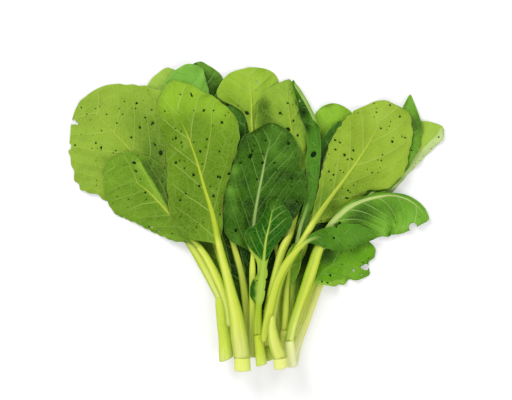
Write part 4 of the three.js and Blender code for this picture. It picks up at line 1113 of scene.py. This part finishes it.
leaf(PALE_UP, "leaf_front_right", seed=17, blade=0.445, stalk=[(0, 7), (1, 6)], cup=-6,
     path=[(13, -106), (14.5, -86), (20.5, -58), (30.5, -38), (41, -22), (51, -5), (65, 15), (78, 32),
           (91, 50), (102, 67), (112, 86), (118, 104)],
     left=[(0.1, 7), (0.2, 12), (0.3, 19), (0.4, 23.5), (0.5, 28.5), (0.6, 31), (0.7, 30), (0.8, 28),
           (0.9, 21), (0.97, 11)],
     right=[(0.1, 13), (0.25, 23), (0.4, 23), (0.46, 30), (0.52, 38), (0.6, 40), (0.67, 40), (0.73, 37),
            (0.8, 34), (0.9, 28), (0.97, 20)],
     rough=0.9, vein_lean=[(1.9, 1.7, 0.0), (1.0, 1.5, 0.008)], rib_fade=(0.6, 0.9), below=(152, 186, 54),
     below2=(138, 170, 42), vein_show=0.4, below_rib=(186, 206, 72), branch_show=0.15, shots=36,
     below_light=(170, 204, 74), below_shade=(94, 132, 26), bites=[(139, 57, 3)],
     veins=([0.08, 0.25, 0.42, 0.6, 0.8], [0.2, 0.34, 0.5, 0.68, 0.86]),
     tones=[(110, 96, 24, 0.45), (128, 70, 20, 0.25), (66, 40, 14, -0.25), (100, 30, 20, -0.25),
            (62, 12, 18, -0.9), (74, 62, 16, 0.15), (88, 20, 14, -0.3), (96, 64, 10, -0.15)],
     holes=[(112, 79, 2), (108, 94, 1.8), (71, 60, 2.2), (75, 66, 2.2), (87, 59, 3.2, 1.8),
            (79, 55, 3.2, 2.2), (82, 51, 2), (86, 51, 2), (122, 67, 3.2, 2), (134, 71, 3.6, 1.6),
            (113, 55, 1.8), (112, 50, 2), (104, 39, 2), (65, 40, 2), (69, 37, 2), (82, 23, 2),
            (81, 16, 4.6, 1.6, 1.2), (103, 22, 5, 3.2), (106, 102, 1.8), (120, 100, 1.8)])
leaf(DARK_UP, "leaf_small_front", seed=18, blade=0.2, stalk=[(0, 7.6), (0.5, 7.4), (1, 5.6)], cup=3,
     path=[(1, -106), (1, -88), (3, -66), (4.5, -52), (6, -40), (8, -22), (11, -9), (14, 5), (19, 16)],
     left=[(0.02, 4), (0.06, 8), (0.13, 9.4), (0.2, 9), (0.25, 7), (0.29, 4.2), (0.38, 5.5), (0.445, 9),
           (0.496, 13), (0.556, 17.5), (0.616, 20), (0.658, 18.5), (0.7, 14.5), (0.741, 10.5),
           (0.787, 8.5), (0.868, 7), (0.926, 7.5), (0.972, 6)],
     right=[(0.04, 3.4), (0.12, 4.4), (0.21, 4), (0.3, 5), (0.38, 3.5), (0.445, 4.5), (0.51, 6.5),
            (0.579, 10.5), (0.653, 14), (0.736, 17.5), (0.797, 20), (0.857, 19.5), (0.917, 15),
            (0.963, 9)],
     rough=0.45, pucker=0.6, rib_taper=1.6, rib_fade=(0.77, 0.98), ruffle=1.0, sheen=0.05,
     vein_lean=(1.5, 1.4, 0.004), vein_show=0.55, top_vein=(150, 190, 90), top_rib=(178, 206, 84),
     stalk_mid=(146, 182, 24), stalk_base=(200, 216, 76), stalk_glow=(172, 202, 56), top=(30, 98, 0),
     top2=(22, 84, 0), top_light=(168, 198, 66), top_shade=(30, 76, 2), shots=5,
     washes=[(0.38, 0.42, 0.8, 1.2)],
     veins=([0.4, 0.52, 0.63, 0.74, 0.86], [0.43, 0.54, 0.65, 0.76, 0.87]),
     bites=[(9.4, -46, 1.6), (8.6, -57, 2.2), (7.6, -66, 2.0), (6.4, -76, 2.0)],
     tones=[(13, 12, 8, 0.2), (24, -2, 10, 0.14), (-7, -20, 8, 0.18), (12, -26, 7, -0.4), (2, -8, 6, -0.3),
            (8, -56, 5, -0.4), (-5, -60, 4.5, -1.6), (-5, -69, 4.5, -1.7), (-4.5, -78, 4, -1.6)],
     stem=dict(name="stem_centre", path=[(4, -133)], width=[(0, 10), (1, 7.6)], pale=(222, 236, 110),
               skin=(206, 224, 70), streak=(174, 204, 44), seed=25, slant=0.12))
leaf(DARK_UP, "leaf_right_low", seed=20, blade=0.42, stalk=[(0, 6), (1, 4)], cup=[-2, -3],
     path=[(33, -108), (40, -92), (46, -74), (52, -59), (62, -48), (76, -41), (90, -36.5), (107, -29)],
     left=[(0.06, 6), (0.15, 11), (0.3, 15), (0.5, 16), (0.7, 15), (0.88, 13), (0.95, 9)],
     right=[(0.04, 7), (0.1, 12.5), (0.2, 17.5), (0.3, 19), (0.4, 19.5), (0.5, 19.5), (0.62, 20),
            (0.72, 20.5), (0.79, 20), (0.81, 18), (0.825, 11.5), (0.87, 9.5), (0.92, 8.5), (0.96, 6)],
     rough=0.9, bands=[(1, -0.1, 0.42, 6, 1.0)], rib_fade=(0.2, 0.8), vein_show=0.5, pucker=1.1,
     crinkle=0.5, top=(110, 168, 22), top2=(90, 150, 14), below=(146, 190, 66), shots=14,
     top_light=(150, 198, 62), top_rib=(120, 172, 50), rib_show=0.7, folds=[(46, -57, 80, -61, 9, 1.0)],
     bites=[(98.6, -46.3, 5.6), (95.5, -46.6, 3.2), (87.3, -49.2, 2.4), (94.7, -53.6, 1.6)],
     tones=[(64, -36, 11, -0.8), (92, -26, 12, -0.4), (84, -50, 14, 0.4), (104, -34, 8, 0.3)])
leaf(DARK_UP, "leaf_right_curled", seed=27, blade=0.485,
     stalk=[(0, 8), (0.3, 8), (0.6, 10.5), (0.8, 9.5), (1, 6.4)], cup=[2, -5],
     path=[(29, -112), (33, -95), (40, -74), (45, -60), (50, -45), (55, -30), (67, -7), (79, 5),
           (92, 12.5), (108, 17), (122, 18.5), (136, 15), (147, 7), (155, -4)],
     left=[(0.15, 3), (0.4, 3.5), (0.6, 2.5), (0.75, 3.5), (0.88, 4), (0.95, 3)],
     right=[(0.12, 9), (0.22, 24), (0.35, 33), (0.5, 37), (0.62, 37), (0.75, 37), (0.84, 36.5), (0.9, 35),
            (0.94, 33), (0.965, 28.5), (0.975, 24.5), (0.983, 19), (0.99, 13)],
     rough=0.8, pucker=1.0, half_shade=0.55, veins=([0.1, 0.4, 0.7], [0.08, 0.22, 0.36, 0.5, 0.66, 0.84]),
     vein_lean=(1.5, 0.9, 0.004), top_vein=(160, 200, 104), top_rib=(192, 214, 126), vein_show=0.75,
     rib_taper=1.7, rib_fade=(0.75, 1.0), top=(124, 182, 50), top2=(100, 158, 36),
     top_light=(140, 196, 72), shots=14, bites=[(141, -10, 7.5), (132.5, -9, 1.8)],
     tones=[(98, 4, 13, -0.6), (84, -3, 9, -0.5), (122, 6, 9, -0.4), (126, -5, 8, -0.4),
            (142, -2, 16, 0.4), (112, -14, 11, 0.5), (132, -10, 6, 0.4)],
     stem=dict(name="stem_right", path=[(30.6, -135)], width=[(0, 10.4), (1, 8.4)], pale=(255, 255, 204),
               skin=(250, 254, 176), streak=(234, 242, 136), seed=28, slant=-0.1))
leaf(DARK_UP, "leaf_right_front", seed=29, blade=0.575,
     stalk=[(0, 4.4), (0.05, 6.4), (0.12, 7), (0.3, 7.6), (0.6, 7), (0.8, 7), (1, 4)], cup=[-2, -4],
     path=[(6, -112), (7.6, -101), (10.4, -88), (14.5, -70), (19, -56), (27, -41), (38, -28), (50, -20),
           (70, -17), (88, -17), (108, -19)],
     left=[(0.1, 3), (0.25, 6), (0.45, 8.5), (0.62, 10), (0.8, 9), (0.93, 5)],
     right=[(0.1, 3), (0.25, 9), (0.4, 13), (0.55, 14), (0.68, 12), (0.8, 9), (0.93, 4)],
     stalk_base=(206, 220, 80), stalk_mid=(200, 216, 70), stalk_glow=(222, 234, 108), top=(86, 144, 24),
     top2=(66, 122, 16), rough=0.8, rib_fade=(0.05, 0.3), vein_show=0.4, pucker=0.9, shots=8,
     tones=[(58, -16, 14, -0.4), (80, -22, 14, 0.25), (96, -14, 12, 0.3)])
leaf(PALE_UP, "torn_stalk", seed=19, blade=0.97, tilt=0.09,
     stalk=[(0, 12.8), (0.36, 11.2), (0.67, 8.8), (0.83, 6.8), (0.95, 5.4), (1, 4.4)], cup=0,
     path=[(20.5, -126), (15.5, -112), (13.5, -100), (13.6, -94), (14.2, -88)],
     left=[(0.3, 2.9), (0.9, 2.9)],
     right=[(0.3, 2.9), (0.9, 2.9)],
     stalk_base=(226, 234, 116), stalk_mid=(216, 226, 100), below=(206, 220, 100), below2=(190, 208, 80),
     ruffle=0, wave=0, pucker=0, crinkle=0, rough=0,
     stem=dict(name="stem_short", path=[(21.5, -135)], width=[(0, 13), (1, 13)], pale=(244, 250, 150),
               skin=(238, 246, 134), streak=(222, 234, 104), seed=26, slant=0.05))

# ---- the bunch
pile = np.full((NY, NX), -AIR)
made = []
for spec in LEAVES:
    body = Leaf(spec)
    stem = Stem(spec["stem"], body.axis) if "stem" in spec else None
    settle(body, stem, pile)
    made.append((body, stem))

everything = np.vstack([all_points(body, stem) for body, stem in made])
low, high = everything.min(axis=0), everything.max(axis=0)
cad_low, cad_high = (np.array(corner) / MM for corner in CAD_BOX)
shift = (cad_low + cad_high) / 2 - (low + high) / 2
shift[2] = cad_low[2] - low[2]

SLOT = {"under": "leaf_underside", "top": "leaf_upper_side"}
for body, stem in made:
    spec = body.spec
    body.points += shift
    thing = leaf_object(body, "look_" + spec["name"])
    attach(thing, "root")
    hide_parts(spec["name"])
    "stem" if spec["name"] == "torn_stalk" else SLOT[spec["up"]]
    if stem is not None:
        stem.points += shift
        thing = stem_object(stem, "look_" + stem.spec["name"])
        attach(thing, "root")
        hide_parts(stem.spec["name"])

# ---- floor, light, camera
SKY = 0.52              # strength of the light from all round; the background itself is seen as white
FLOOR_GREY = 0.72
FLOOR_GLOW = 0.36       # what the floor adds where it is seen, so that it looks white
FLOOR_BELOW = 0.0004    # the floor's depth under the bunch, m
CAMERA_HEIGHT = 1.6
LEAVES_HEIGHT = 0.012   # height at which the width of the picture is measured
FIELD_WIDE = 0.461      # width of the picture there, m
SENSOR = 36.0
CAMERA_AT = -0.0009, 0.0144     # the camera's place in plan beside the middle of the bunch

scene = bpy.context.scene
bpy.ops.mesh.primitive_plane_add(size=6.0, location=(0, 0, -FLOOR_BELOW))
floor = bpy.context.object
floor.name = "floor"
nodes = Nodes("floor_white")
matt = nodes.add("ShaderNodeBsdfDiffuse", Color=(FLOOR_GREY, FLOOR_GREY, FLOOR_GREY, 1))
glow = nodes.add("ShaderNodeEmission", Color=(1, 1, 1, 1), Strength=nodes.seen() * FLOOR_GLOW)
both = nodes.add("ShaderNodeAddShader", i0=matt.outputs[0], i1=glow.outputs[0])
nodes.output("ShaderNodeOutputMaterial", both)
floor.data.materials.append(nodes.material)

scene.world = bpy.data.worlds.new("studio")
nodes = Nodes("studio", scene.world)
sky = nodes.add("ShaderNodeBackground", Color=(1, 1, 1, 1), Strength=nodes.seen() * (1 - SKY) + SKY)
nodes.output("ShaderNodeOutputWorld", sky)


def lamp(name, place, size, power):
    """Round area light that shines at the middle of the bunch."""
    data = bpy.data.lights.new(name, "AREA")
    data.shape = "DISK"
    data.size = size
    data.energy = power
    thing = bpy.data.objects.new(name, data)
    scene.collection.objects.link(thing)
    thing.location = place
    thing.rotation_mode = "QUATERNION"
    thing.rotation_quaternion = (-Vector(place)).to_track_quat("-Z", "Y")


lamp("softbox", (-0.8, 1.1, 1.45), 1.0, 20.0)
lamp("fill", (0.8, -0.9, 1.5), 1.2, 8.0)

camera = bpy.data.objects.new("camera", bpy.data.cameras.new("camera"))
scene.collection.objects.link(camera)
scene.camera = camera
camera.data.sensor_width = SENSOR
camera.data.lens = SENSOR * (CAMERA_HEIGHT - LEAVES_HEIGHT) / FIELD_WIDE
camera.location = (shift[0] * MM + CAMERA_AT[0], shift[1] * MM + CAMERA_AT[1], CAMERA_HEIGHT)

scene.view_settings.view_transform = "Standard"
